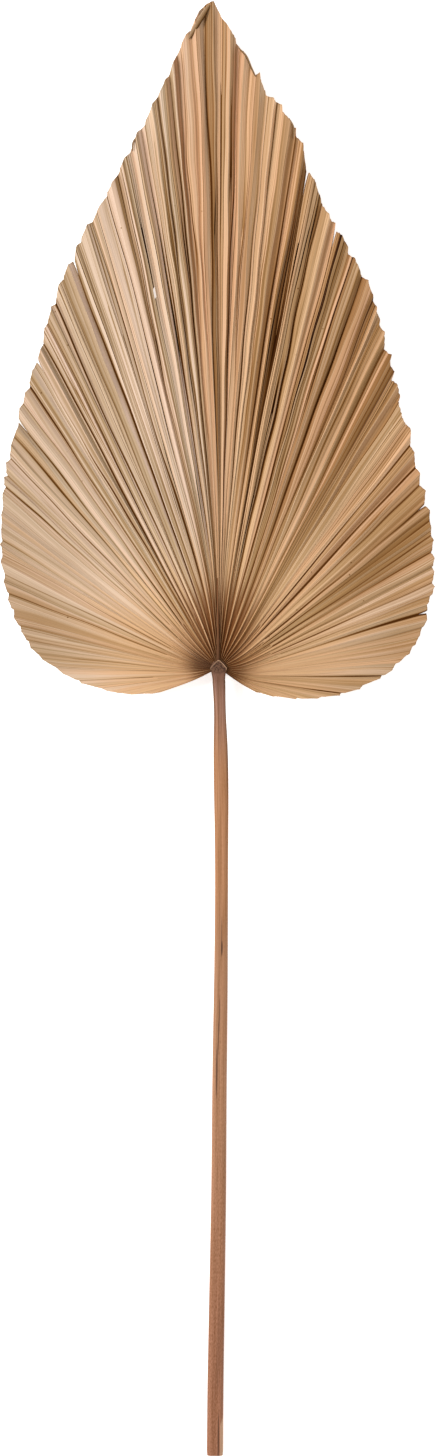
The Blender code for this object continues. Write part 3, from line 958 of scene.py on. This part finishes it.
def lengthwise_places():
    """Each ring's distance down from the hub, and how far the cut end's rounding draws it in."""
    places = []
    for k in range(END_STEPS):
        turn = math.pi / 2 * k / END_STEPS
        down = STALK_LENGTH - CUT_ROUNDING * (1 - math.cos(turn)) * CUT_FLATNESS
        places.append((down, CUT_ROUNDING * (1 - math.sin(turn))))
    lowest = STALK_LENGTH - CUT_ROUNDING * CUT_FLATNESS
    for k in range(STALK_STEPS + 1):
        places.append((lowest + (SHOULDER - lowest) * k / STALK_STEPS, 0.0))
    for k in range(RIB_STEPS + 1):
        places.append((RIB_START - (RIB_LENGTH + RIB_START) * k / RIB_STEPS, 0.0))
    return places


def bend_stalk(draw):
    """The stalk and its rib from one cylinder, with fine fibres along it."""
    places = lengthwise_places()
    deselect_all()
    bpy.ops.mesh.primitive_cylinder_add(vertices=STALK_SIDES, radius=0.5, depth=1.0, end_fill_type="TRIFAN")
    stalk = bpy.context.object
    stalk.name = "stalk"
    with edit_mode("DESELECT"):
        bpy.ops.mesh.select_mode(type="EDGE")
    for edge in stalk.data.edges:
        low, high = (stalk.data.vertices[v].co for v in edge.vertices)
        edge.select = abs(high.z - low.z) > 0.5
    with edit_mode(None):
        bpy.ops.mesh.subdivide(number_cuts=len(places) - 2)
    fibres = [draw.uniform(-1, 1) for _ in range(STALK_SIDES)]
    kept = {"turn": [], "down": []}
    for vertex in stalk.data.vertices:
        at = round((vertex.co.z + 0.5) * (len(places) - 1))
        down, shrink = places[at]
        radial = math.hypot(vertex.co.x, vertex.co.y) * 2
        turn = math.atan2(vertex.co.x, vertex.co.y)
        across, up = math.sin(turn) / 2, flattened(turn)
        side = round(turn / (2 * math.pi) * STALK_SIDES) % STALK_SIDES
        fibre = FIBRE_DEPTH * fibres[side] * math.sin(down * 14 + side) * radial
        kept["turn"].append(turn)
        kept["down"].append(down)
        if down > SHOULDER - 1e-6:
            width = between(STALK_WIDTH, down) - 2 * shrink + fibre
            rise = up * STALK_FLATNESS * width
            if up > 0:
                rise -= GROOVE_DEPTH * math.exp(-(across / GROOVE_WIDTH) ** 2)
            x = between(STALK_BEND, down) + across * width * radial
            z = max(stalk_axis_height(down) + rise * radial, shrink)
        else:
            width, height, top = rib_size(-down)
            x = across * width * radial
            z = top - height / 2 + up * height * radial
        vertex.co = (HUB_X + x, HUB_Y - down, z)
    keep(stalk, kept)
    face_outward(stalk, 50)
    return stalk


stalk = bend_stalk(look)
print("stalk", len(stalk.data.polygons) * 2, "triangles")

# %% [markdown]
# Where the stalk meets the blade a fan palm has a hastula: a small pointed flap like a fingernail,
# with a thin pale rim and a dull, spotted hollow. A grid gives it its arch, and towards its foot it
# takes on the stalk's own roundness, so that the one grows out of the other.

# %% The flap at the hub
CREST_HALF_WIDTH = 6.7 * MM
CREST_TOP = 6.5 * MM
CREST_FOOT = -14 * MM
CREST_FOOT_HALF_WIDTH = 4.6 * MM
CREST_POINT_HALF_WIDTH = 0.6 * MM
CREST_THICKNESS = 1.3 * MM
CREST_WALL = 0.9 * MM
CREST_COLUMNS = 28
CREST_ROWS = 44
RIM_WIDTH = 0.8 * MM
RIM_HEIGHT = 0.8 * MM
WRINKLE = 0.12 * MM
JOIN_FROM, JOIN_WITHIN = 1 * MM, 12 * MM
JOIN_SHARE = 0.97


def crest_half_width(y):
    """Half the width of the flap: straight sides that close in a pointed arch."""
    if y < 0:
        return CREST_HALF_WIDTH + (CREST_FOOT_HALF_WIDTH - CREST_HALF_WIDTH) * y / CREST_FOOT
    return CREST_HALF_WIDTH + (CREST_POINT_HALF_WIDTH - CREST_HALF_WIDTH) * (y / CREST_TOP) ** 1.15


def stalk_top(turn, down):
    """Height of the stalk's upper side at a turn from its top and a distance down from the hub."""
    groove = GROOVE_DEPTH * math.exp(-(math.sin(turn) / 2 / GROOVE_WIDTH) ** 2)
    return stalk_axis_height(down) + flattened(turn) * STALK_FLATNESS * between(STALK_WIDTH, down) - groove


def bend_crest():
    """The flap, with a raised rim that fades out towards its foot, where it grows into the stalk."""
    crest, column, row = grid_sheet("hastula", CREST_COLUMNS, CREST_ROWS)
    low = HUB_HEIGHT + MODEL_THICKNESS / 2 + 1.5 * CLEARANCE
    kept = {"rim": [], "down": [], "turn": []}
    for vertex, c, r in zip(crest.data.vertices, column, row):
        across = 2 * c / CREST_COLUMNS - 1
        y = CREST_FOOT + (CREST_TOP - CREST_FOOT) * (r / CREST_ROWS) ** 0.8
        half = crest_half_width(y)
        to_rim = min(half * (1 - abs(across)), (CREST_TOP - y) * 0.8)
        rim = math.exp(-to_rim / RIM_WIDTH) * min(max((y + 4 * MM) / (5 * MM), 0.0), 1.0)
        wrinkle = WRINKLE * math.sin(across * 9 + 2 * math.sin(y * 700)) * math.sin(y * 900 + across * 3)
        high = low + CREST_THICKNESS * (0.5 + 0.3 * (1 - across ** 2)) + RIM_HEIGHT * rim + wrinkle
        below = max(-y, 0.0)
        joined = min(max((below - JOIN_FROM) / JOIN_WITHIN, 0.0), 1.0)
        joined = joined * joined * (3 - 2 * joined)
        turn = math.asin(JOIN_SHARE * across)
        foot_half = JOIN_SHARE * between(STALK_WIDTH, below) / 2
        x = half * across * (1 - joined) + (between(STALK_BEND, below) + foot_half * across) * joined
        high += (stalk_top(turn, below) + (0.5 - 0.6 * joined) * MM - high) * joined
        vertex.co = (HUB_X + x, HUB_Y + y, high)
        for key, value in (("rim", rim), ("down", -y), ("turn", turn)):
            kept[key].append(value)
    keep(crest, kept)
    thicken(crest, CREST_WALL, 60)
    return crest


crest = bend_crest()
print("hastula", len(crest.data.polygons) * 2, "triangles")

# %% [markdown]
# Under the flap the root of the blade closes round a knot of the stalk. Only its sides show, so a
# sphere pressed flat, with a slight ripple round it, is enough.

# %% The knot under the flap
KNOT_RADIUS = 6.8 * MM
KNOT_MIDDLE = -0.9 * MM
KNOT_HALF_HEIGHT = 2.5 * MM


def shape_knot():
    """The round knot that the blade's root surrounds, as a sphere pressed flat."""
    deselect_all()
    bpy.ops.mesh.primitive_uv_sphere_add(segments=48, ring_count=24, radius=1.0)
    knot = bpy.context.object
    knot.name = "knot"
    for vertex in knot.data.vertices:
        ripple = 1 + 0.04 * math.sin(9 * math.atan2(vertex.co.y, vertex.co.x))
        vertex.co.x = HUB_X + KNOT_RADIUS * vertex.co.x * ripple
        vertex.co.y = HUB_Y + KNOT_RADIUS * vertex.co.y * ripple
        vertex.co.z = HUB_HEIGHT + KNOT_MIDDLE + KNOT_HALF_HEIGHT * vertex.co.z
    keep(knot, {"rim": 0.0, "down": 0.003, "turn": [vertex.co.x * 150 for vertex in knot.data.vertices]})
    bpy.ops.object.shade_smooth()
    return knot


knot = shape_knot()
print("knot", len(knot.data.polygons), "faces")

# %% [markdown]
# A finish is worked out from numbers on the surface: how far a point is from its ridge, which face
# of a fold it is on, how far from the hub. Such sums read best as ordinary Python, so a small class
# wraps a node's output and adds a Math node for each operator.

# %% Arithmetic on node sockets
class Socket:
    """One output in a material's nodes, on which Python's arithmetic adds Math nodes."""

    def __init__(self, tree, output=None):
        self.tree = tree
        self.output = output

    def node(self, kind, settings=None, values=None, out=0):
        """Add a node of a kind: its settings first, then the values or links of its sockets."""
        made = self.tree.nodes.new(kind)
        for key, value in (settings or {}).items():
            setattr(made, key, value)
        for key, value in (values or {}).items():
            if isinstance(value, Socket):
                self.tree.links.new(value.output, made.inputs[key])
            else:
                made.inputs[key].default_value = value
        return Socket(self.tree, made.outputs[out])

    def maths(self, operation, *values):
        """Add a Math node."""
        return self.node("ShaderNodeMath", {"operation": operation}, dict(enumerate(values)))

    def __add__(self, other):
        return self.maths("ADD", self, other)

    def __sub__(self, other):
        return self.maths("SUBTRACT", self, other)

    def __rsub__(self, other):
        return self.maths("SUBTRACT", other, self)

    def __mul__(self, other):
        return self.maths("MULTIPLY", self, other)

    def __truediv__(self, other):
        return self.maths("DIVIDE", self, other)

    def __pow__(self, other):
        return self.maths("POWER", self, other)

    __radd__ = __add__
    __rmul__ = __mul__


# %% [markdown]
# A few tools are shared by all finishes: a material and its shader, a soft step between two values,
# a blend of two colours, noise that is stretched along the leaf, and a tone law. Dry straw turns
# redder where it is darker, so green and blue fall faster than red.

# %% Tools for the finishes
def begin_finish(name, roughness, specular):
    """A new material, and a socket to start its sums from."""
    material = bpy.data.materials.new(name)
    material.use_nodes = True
    shader = material.node_tree.nodes["Principled BSDF"]
    shader.inputs["Roughness"].default_value = roughness
    shader.inputs["Specular IOR Level"].default_value = specular
    return material, Socket(material.node_tree)


def connect(material, results):
    """Link the results of sums to the inputs of the material's shader, by their names."""
    shader = material.node_tree.nodes["Principled BSDF"]
    for name, result in results.items():
        material.node_tree.links.new(result.output, shader.inputs[name])
    print(material.name, "has", len(material.node_tree.nodes), "nodes")


def stored(start, name):
    """A number kept on the mesh's own corners."""
    return start.node("ShaderNodeAttribute", {"attribute_name": name}, out="Fac")


def step(value, low, high):
    """0 below low and 1 above high, or the other way round, with a soft change between them."""
    return value.node("ShaderNodeMapRange", {"interpolation_type": "SMOOTHSTEP"},
                      {"Value": value, "From Min": low, "From Max": high})


def blend(share, first, second):
    """The first colour where the share is 0 and the second where it is 1."""
    return share.node("ShaderNodeMix", {"data_type": "RGBA"}, {0: share, 6: first, 7: second}, out=2)


def at_most(value, limit):
    """The smaller of two numbers."""
    return value.maths("MINIMUM", value, limit)


def at_least(value, limit):
    """The larger of two numbers."""
    return value.maths("MAXIMUM", value, limit)


def shade(colour, factor):
    """A colour made lighter and greyer, or darker and redder, as dry straw is."""
    darker, lighter = at_most(factor, 1.0), at_least(factor, 1.0)
    green, blue = darker ** 1.31 * lighter ** 1.14, darker ** 1.98 * lighter ** 1.48
    tint = factor.node("ShaderNodeCombineColor", values={0: factor, 1: green, 2: blue})
    return factor.node("ShaderNodeMix", {"data_type": "RGBA", "blend_type": "MULTIPLY"},
                       {0: 1.0, 6: colour, 7: tint}, out=2)


def drawn_for(number, offset):
    """A fixed random share for each whole step of a number."""
    whole = number.maths("FLOOR", number) + offset
    return number.node("ShaderNodeTexWhiteNoise", {"noise_dimensions": "1D"}, {"W": whole}, out=0)


def streaks(start, x, y, detail=2.0, z=0.0):
    """Noise from 0 to 1 on two numbers of the surface."""
    place = start.node("ShaderNodeCombineXYZ", values={0: x, 1: y, 2: z})
    return start.node("ShaderNodeTexNoise", values={"Vector": place, "Scale": 1.0, "Detail": detail})


def relief(height, strength):
    """Small bumps where a number is high."""
    values = {"Strength": strength, "Distance": 0.3 * MM, "Height": height}
    return height.node("ShaderNodeBump", values=values)


# %% [markdown]
# A dried leaf is straw coloured, and each face of a fold dried to its own tone: some creamy, some
# pinkish, olive or brown. The numbers kept on the mesh say where on the leaf a point is. Wide and
# narrow bands run along the faces, and every band draws its own tone.

# %% Where on the leaf a point is
MESH_NUMBERS = (
    "strip", "radius", "ridge_mm", "valley_mm", "edge_mm", "sunk", "stain_and_shade", "under", "warm", "red", "tone",
    "broad", "contrast",
)


class LeafPoint:
    """What the steps of the leaf's colours share: the mesh's numbers, slow noises and the bands."""

    def __init__(self, start):
        for name in MESH_NUMBERS:
            setattr(self, name, stored(start, name))
        strip, radius = self.strip, self.radius
        self.near = step(radius, 0.16, 0.05)
        self.slow = streaks(start, strip * 0.45, radius * 7.0)
        self.hair = streaks(start, strip * 12.0, radius * 22.0, 2.0, 9.0)
        self.group = streaks(start, strip * 0.16, radius * 3.0, 1.0, 50.0)
        wide = strip * 2.3 + streaks(start, strip * 1.9, radius * 3.0, 1.0, 17.0) * 2.8
        narrow = strip * 3.8 + streaks(start, strip * 2.7, radius * 4.0, 1.0, 30.0) * 2.4
        self.wide_own, self.wide_other = drawn_for(wide, 0.0), drawn_for(wide, 0.5)
        self.narrow_own = drawn_for(narrow, 0.25)
        self.wide_share, self.narrow_share = wide.maths("FRACT", wide), narrow.maths("FRACT", narrow)
        place = start.node("ShaderNodeTexCoord", out="Object")
        cells = {"Vector": place, "Scale": 90.0}
        self.speck = start.node("ShaderNodeTexVoronoi", values=cells)
        cell_colour = start.node("ShaderNodeTexVoronoi", values=cells, out="Color")
        self.chosen = start.node("ShaderNodeSeparateXYZ", values={0: cell_colour})


# %% [markdown]
# First comes the straw colour itself, cool on the left and warm on the right. Then each point is
# made lighter or darker: by its band, its direction and the nearness of the hub, where the direction
# also holds painted light that darkens the right side, away from the lamp; by the painted shadow and
# the dried sap in a valley, whose dark line is partly painted shade; by hair-thin veins, a few specks
# and the browned cut edge.

# %% Straw, lighter and darker
BEIGE = (0.55, 0.40, 0.27, 1.0)
PINKISH = (0.565, 0.395, 0.275, 1.0)
GOLDEN = (0.555, 0.34, 0.177, 1.0)
RUSSET = (0.52, 0.285, 0.145, 1.0)
LIGHTEST, DARKEST = 1.34, 0.03


def straw_colour(leaf):
    """The colour before light and dark: warmer near the hub, cooler near the tip."""
    warmer = leaf.warm + (leaf.slow - 0.5) * 0.8 + (leaf.wide_other - 0.5) * 0.6
    warmer = warmer + step(leaf.radius, 0.14, 0.04) * 1.2 - step(leaf.radius, 0.4, 0.5) * 0.5
    warmer = step(warmer, -1.0, 1.0)
    redder = step(leaf.red + (leaf.wide_own - 0.5) * 0.6, -1.0, 1.0)
    return blend(warmer, blend(redder, BEIGE, PINKISH), blend(redder, GOLDEN, RUSSET))


def band_level(leaf):
    """How light each band is, with a dark line at the edge of some."""
    uneven = leaf.tone * 0.09 + (leaf.slow - 0.5) * 0.16
    uneven = uneven + (leaf.wide_own - 0.5) * 0.38 + (leaf.narrow_own - 0.5) * 0.30
    level = 1.06 + uneven * leaf.contrast * (1 + leaf.near * 0.8)
    level = level + (leaf.group - 0.5) * step(leaf.radius, 0.35, 0.05) * 1.45
    # The broad lightness by direction is partly painted light: darker on the right, away from the lamp.
    level = level + leaf.broad * (1 - leaf.near * 0.6) + leaf.near * 0.34
    level = level - step(leaf.radius, 0.36, 0.5) * 0.08
    wide_line = step(leaf.wide_share, 0.35, 0.08) * step(leaf.wide_other, 0.3, 0.9) * leaf.contrast * 0.5
    narrow_line = step(leaf.narrow_share, 0.4, 0.08) * step(leaf.narrow_own, 0.4, 0.95)
    return level * (1 - wide_line) * (1 - narrow_line * leaf.contrast ** 0.5 * 0.36)


def valley_darkness(leaf):
    """In a valley, the painted soft shadow, and the dark line of dried sap, which is partly painted shade.
    """
    inward = step(leaf.valley_mm / (leaf.valley_mm + leaf.ridge_mm + 0.001), 0.5, 0.1)
    shadow = step(leaf.valley_mm, 2.4, 0.5) * inward * leaf.stain_and_shade * leaf.stain_and_shade * 0.36
    sap_and_shade = step(leaf.valley_mm, 0.4 + leaf.stain_and_shade * 1.0, leaf.stain_and_shade * 0.55)
    return shadow, sap_and_shade * inward * step(leaf.stain_and_shade, -0.1, 1.0) * 0.84


def small_marks(leaf):
    """What specks, veins, the cut edge and the underside leave of the lightness."""
    left = 1 - step(leaf.speck, 0.075, 0.04) * step(leaf.chosen, 0.80, 0.82) * 0.6
    left = left * (1 - step(leaf.hair, 0.6, 0.76) * 0.25)
    return left * (1 - step(leaf.edge_mm, 1.0, 0.2) * 0.3) * (1 - leaf.under * 0.2)


# %% [markdown]
# The ridges are worn pale and carry a painted highlight, and one edge of some bands is worn pale. At
# the hub the leaf is honey brown on its folds, and rust brown with painted shade between them, further
# up in the middle than at the sides, and a few folds low on its left carry a greyish smudge.

# %% Pale ridges with a painted highlight, the rusty hub with painted shade, and the leaf's finish
CREAM = (0.77, 0.595, 0.41, 1.0)
HONEY = (0.64, 0.39, 0.17, 1.0)
HUB = (0.55, 0.25, 0.08, 1.0)
RUST_AND_SHADE = (0.17, 0.056, 0.015, 1.0)
SAP_AND_SHADE = (0.115, 0.034, 0.003, 1.0)
SMUDGE = (0.155, 0.078, 0.044, 1.0)


def wear_and_highlight(leaf, colour, wear_and_highlight_share):
    """Pale edges of bands, pale ridges that also carry a painted highlight, and honey towards the hub,
    where the surface is worn.
    """
    band = step(leaf.narrow_share, 0.6, 0.9) * step(leaf.narrow_own, 0.4, 0.1) * 0.35
    colour = blend(band * wear_and_highlight_share, colour, CREAM)
    # The pale line along each ridge is wear and a painted highlight on the crest.
    ridge = step(leaf.ridge_mm, 0.7, 0.1) * 0.3 * step(leaf.radius, 0.03, 0.15)
    colour = blend(ridge * wear_and_highlight_share, colour, CREAM)
    return blend(step(leaf.radius, 0.17, 0.03) * 0.32 * wear_and_highlight_share, colour, HONEY)


def darken_hub(leaf, colour):
    """Rust brown at the root, painted shade in the same brown deep between the folds round the hub, and the
    greyish smudge low on its left.
    """
    radius, sunk = leaf.radius, leaf.sunk
    aside = radius.maths("ABSOLUTE", leaf.strip + 2.0)
    middle = step(aside, 44.0, 16.0)
    border = middle * 0.03 + 0.05 - step(aside, 45.0, 70.0) * 0.016
    hub = step(radius + (leaf.slow - 0.5) * 0.03, border, 0.010)
    colour = blend(hub * 0.35, colour, HUB)
    # Painted shade: rust brown where the folds near the hub lie sunk below their crests.
    colour = blend(hub * step(sunk, 0.25, 0.7) * (0.72 + middle * 0.23), colour, RUST_AND_SHADE)
    colour = blend(step(radius, 0.10, 0.035) * middle * step(sunk, 0.3, 0.7) * 0.85, colour, RUST_AND_SHADE)
    # At the root the rust brown is partly the leaf's own colour and partly painted shade in its sunk folds.
    root = step(radius + (leaf.hair - 0.5) * 0.012, 0.028, 0.008)
    colour = blend(root * (0.3 + step(sunk, 0.1, 0.55) * 0.5), colour, RUST_AND_SHADE)
    low_left = step(leaf.strip, -38.0, -52.0) * step(leaf.strip, -74.0, -60.0)
    return blend(step(radius + (leaf.hair - 0.5) * 0.02, 0.033, 0.012) * low_left * 0.6, colour, SMUDGE)


def leaf_finish():
    """Straw colours face by face, with veins, pale ridges with a painted highlight, dark valleys and a dark
    hub, both partly painted shade.
    """
    material, start = begin_finish("dry_leaf", 0.6, 0.03)
    leaf = LeafPoint(start)
    # The painted shadow and the sap lines, partly painted shade, darken the valleys in the colour.
    shadow, sap_and_shade = valley_darkness(leaf)
    level = at_most(band_level(leaf) * (1 - shadow) * (1 - sap_and_shade) * small_marks(leaf), LIGHTEST)
    colour = blend(sap_and_shade * 0.55, shade(straw_colour(leaf), at_least(level, DARKEST)), SAP_AND_SHADE)
    colour = wear_and_highlight(leaf, colour, at_most(level, 1.0) * (1 - sap_and_shade))
    roof = at_most(leaf.wide_share, 1 - leaf.wide_share) * 3.0
    connect(material, {
        "Base Color": darken_hub(leaf, colour), "Roughness": 0.48 + leaf.hair * 0.16,
        "Normal": relief(roof + leaf.hair * 0.3, 0.6),
    })
    return material


leaf = leaf_finish()

# %% [markdown]
# The rib above the hub is bark brown, darker at its sides and lighter towards its end, with fibres
# along it. One noise along the strip and a little shading across it give that.

# %% The rib's finish
RIB_DARK, RIB_BROWN = (0.09, 0.039, 0.018, 1.0), (0.21, 0.088, 0.035, 1.0)


def rib_finish():
    """Brown, with fibres, dark at its edges and lighter towards its end."""
    material, start = begin_finish("dry_rib", 0.6, 0.03)
    across, along = stored(start, "strip"), stored(start, "radius")
    fibres = streaks(start, across * 3.0, along * 5.0)
    colour = blend(along, RIB_DARK, RIB_BROWN)
    connect(material, {"Base Color": shade(colour, 1.0 + fibres * 0.5 - across * across * 0.5)})
    return material


brown_rib = rib_finish()

# %% [markdown]
# The stalk is woody and a little glossier. It is purple-brown at the hub, golden below it, then tan
# and redder to the cut end, with long fibres, specks and a few scars. Its colours are worked out
# from the turn round it and the distance down it, and each scar is an oval in those two numbers.

# %% The stalk's finish
STALK_GOLD = (0.405, 0.19, 0.088, 1.0)
STALK_TAN = (0.375, 0.185, 0.095, 1.0)
STALK_RED = (0.275, 0.11, 0.058, 1.0)
STALK_PURPLE = (0.28, 0.14, 0.092, 1.0)
STALK_DARK = (0.10, 0.045, 0.026, 1.0)
STALK_PEELED = (0.62, 0.38, 0.24, 1.0)
# Dark scars: turn from the top, distance down, half their turn and half their length, strength.
STALK_SCARS = (
    (0.1, 0.231, 0.14, 0.007, 1.0), (0.05, 0.222, 0.08, 0.020, 0.6), (-0.14, 0.285, 0.07, 0.018, 0.8),
    (-0.25, 0.306, 0.08, 0.018, 0.85), (-0.42, 0.333, 0.16, 0.026, 0.85), (0.41, 0.636, 0.11, 0.026, 0.95),
    (0.3, 0.560, 0.3, 0.05, 0.25),
)


def stalk_colour(start, turn, down):
    """The colours along the stalk, with long fibres and specks, and the fibres alone."""
    broad = streaks(start, turn * 1.6, down * 9.0, 2.0)
    fine = streaks(start, turn * 8.0, down * 16.0, 3.0, 3.0)
    specks = streaks(start, turn * 14.0, down * 160.0, 1.0, 8.0)
    grain = streaks(start, turn * 7.0, down * 420.0, 2.0, 12.0)
    here = down + (broad - 0.5) * 0.06
    colour = blend(step(here, 0.16, 0.25), STALK_GOLD, STALK_TAN)
    colour = blend(step(here, 0.32, 0.60) * 0.8, colour, STALK_RED)
    colour = blend(step(here, 0.10, 0.015), colour, STALK_PURPLE)
    colour = blend(step(down, 0.026, 0.006) * 0.45, colour, STALK_DARK)
    top = step(here, 0.2, 0.03)
    # Near the hub the sides are darker: partly dark streaks, partly painted shade where the stalk turns
    # away from the light.
    sides = step(turn.maths("ABSOLUTE", turn), 0.75, 1.15) * top * 0.42
    mottled = (grain - 0.5) * (0.3 + step(here, 0.25, 0.5) * 0.9)
    level = 1.04 + (broad - 0.5) * 0.6 + (fine - 0.5) * (1.1 + top * 1.2) + mottled - sides
    fibres = step(fine, 0.56, 0.74) * (0.35 + step(here, 0.1, 0.02) * 0.3)
    colour = blend(fibres, shade(colour, level), STALK_DARK)
    return blend(step(specks, 0.68, 0.78) * 0.45, colour, STALK_DARK), fine


def stalk_finish():
    """The stalk's colours with its scars, and the strip that peeled off at the cut end."""
    material, start = begin_finish("dry_stalk", 0.55, 0.15)
    turn, down = stored(start, "turn"), stored(start, "down")
    colour, fine = stalk_colour(start, turn, down)
    for place_turn, place_down, half_turn, half_down, strength in STALK_SCARS:
        across, along = (turn - place_turn) / half_turn, (down - place_down) / half_down
        scar = step(across * across + along * along + (fine - 0.5) * 0.9, 1.0, 0.3)
        colour = blend(scar * strength, colour, STALK_DARK)
    peeled = step(down + turn * 0.01, 0.628, 0.634) * step(turn, 0.60, 0.72) * 0.7
    connect(material, {
        "Base Color": blend(peeled, colour, STALK_PEELED), "Roughness": 0.46 + fine * 0.2,
        "Normal": relief(fine, 0.4),
    })
    return material


stalk_brown = stalk_finish()

# %% [markdown]
# The flap is dull and darker than the stalk, with nearly black spots in its hollow and a pale rim
# where it is worn. Towards its foot it has the stalk's own colours, as the two are one growth.

# %% The flap's finish
HOLLOW_BROWN, HOLLOW_DARK = (0.155, 0.078, 0.046, 1.0), (0.06, 0.029, 0.018, 1.0)
RIM_PALE = (0.47, 0.28, 0.17, 1.0)


def crest_finish():
    """A dull brown hollow with dark spots and a pale worn rim, and below it the stalk's own colours."""
    material, start = begin_finish("dry_flap", 0.7, 0.1)
    rim, down, turn = stored(start, "rim"), stored(start, "down"), stored(start, "turn")
    place = start.node("ShaderNodeTexCoord", out="Object")
    spots = start.node("ShaderNodeTexNoise", values={"Vector": place, "Scale": 700.0, "Detail": 2.0})
    hollow = blend(step(spots, 0.42, 0.6), HOLLOW_BROWN, HOLLOW_DARK)
    colour = blend(step(down, 0.001, 0.007), hollow, stalk_colour(start, turn, down)[0])
    connect(material, {"Base Color": blend(step(rim, 0.25, 0.6), colour, RIM_PALE)})
    return material


flap = crest_finish()

# %% [markdown]
# Each piece now gets its finish and is tied to the solid that it stands for. The halves, the torn
# strips and the rib are the blade, and the stalk, the flap and the knot are the stalk.

# %% Put the finishes on and tie each piece to its solid
for piece in halves + strips:
    piece.data.materials.append(brown_rib if piece is rib else leaf)
    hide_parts("leaf_blade")
    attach(piece, "root")
for piece, finish in ((stalk, stalk_brown), (crest, flap), (knot, flap)):
    piece.data.materials.append(finish)
    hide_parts("leaf_stalk")
    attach(piece, "root")
print(len(halves + strips), "pieces stand for the blade and 3 for the stalk")
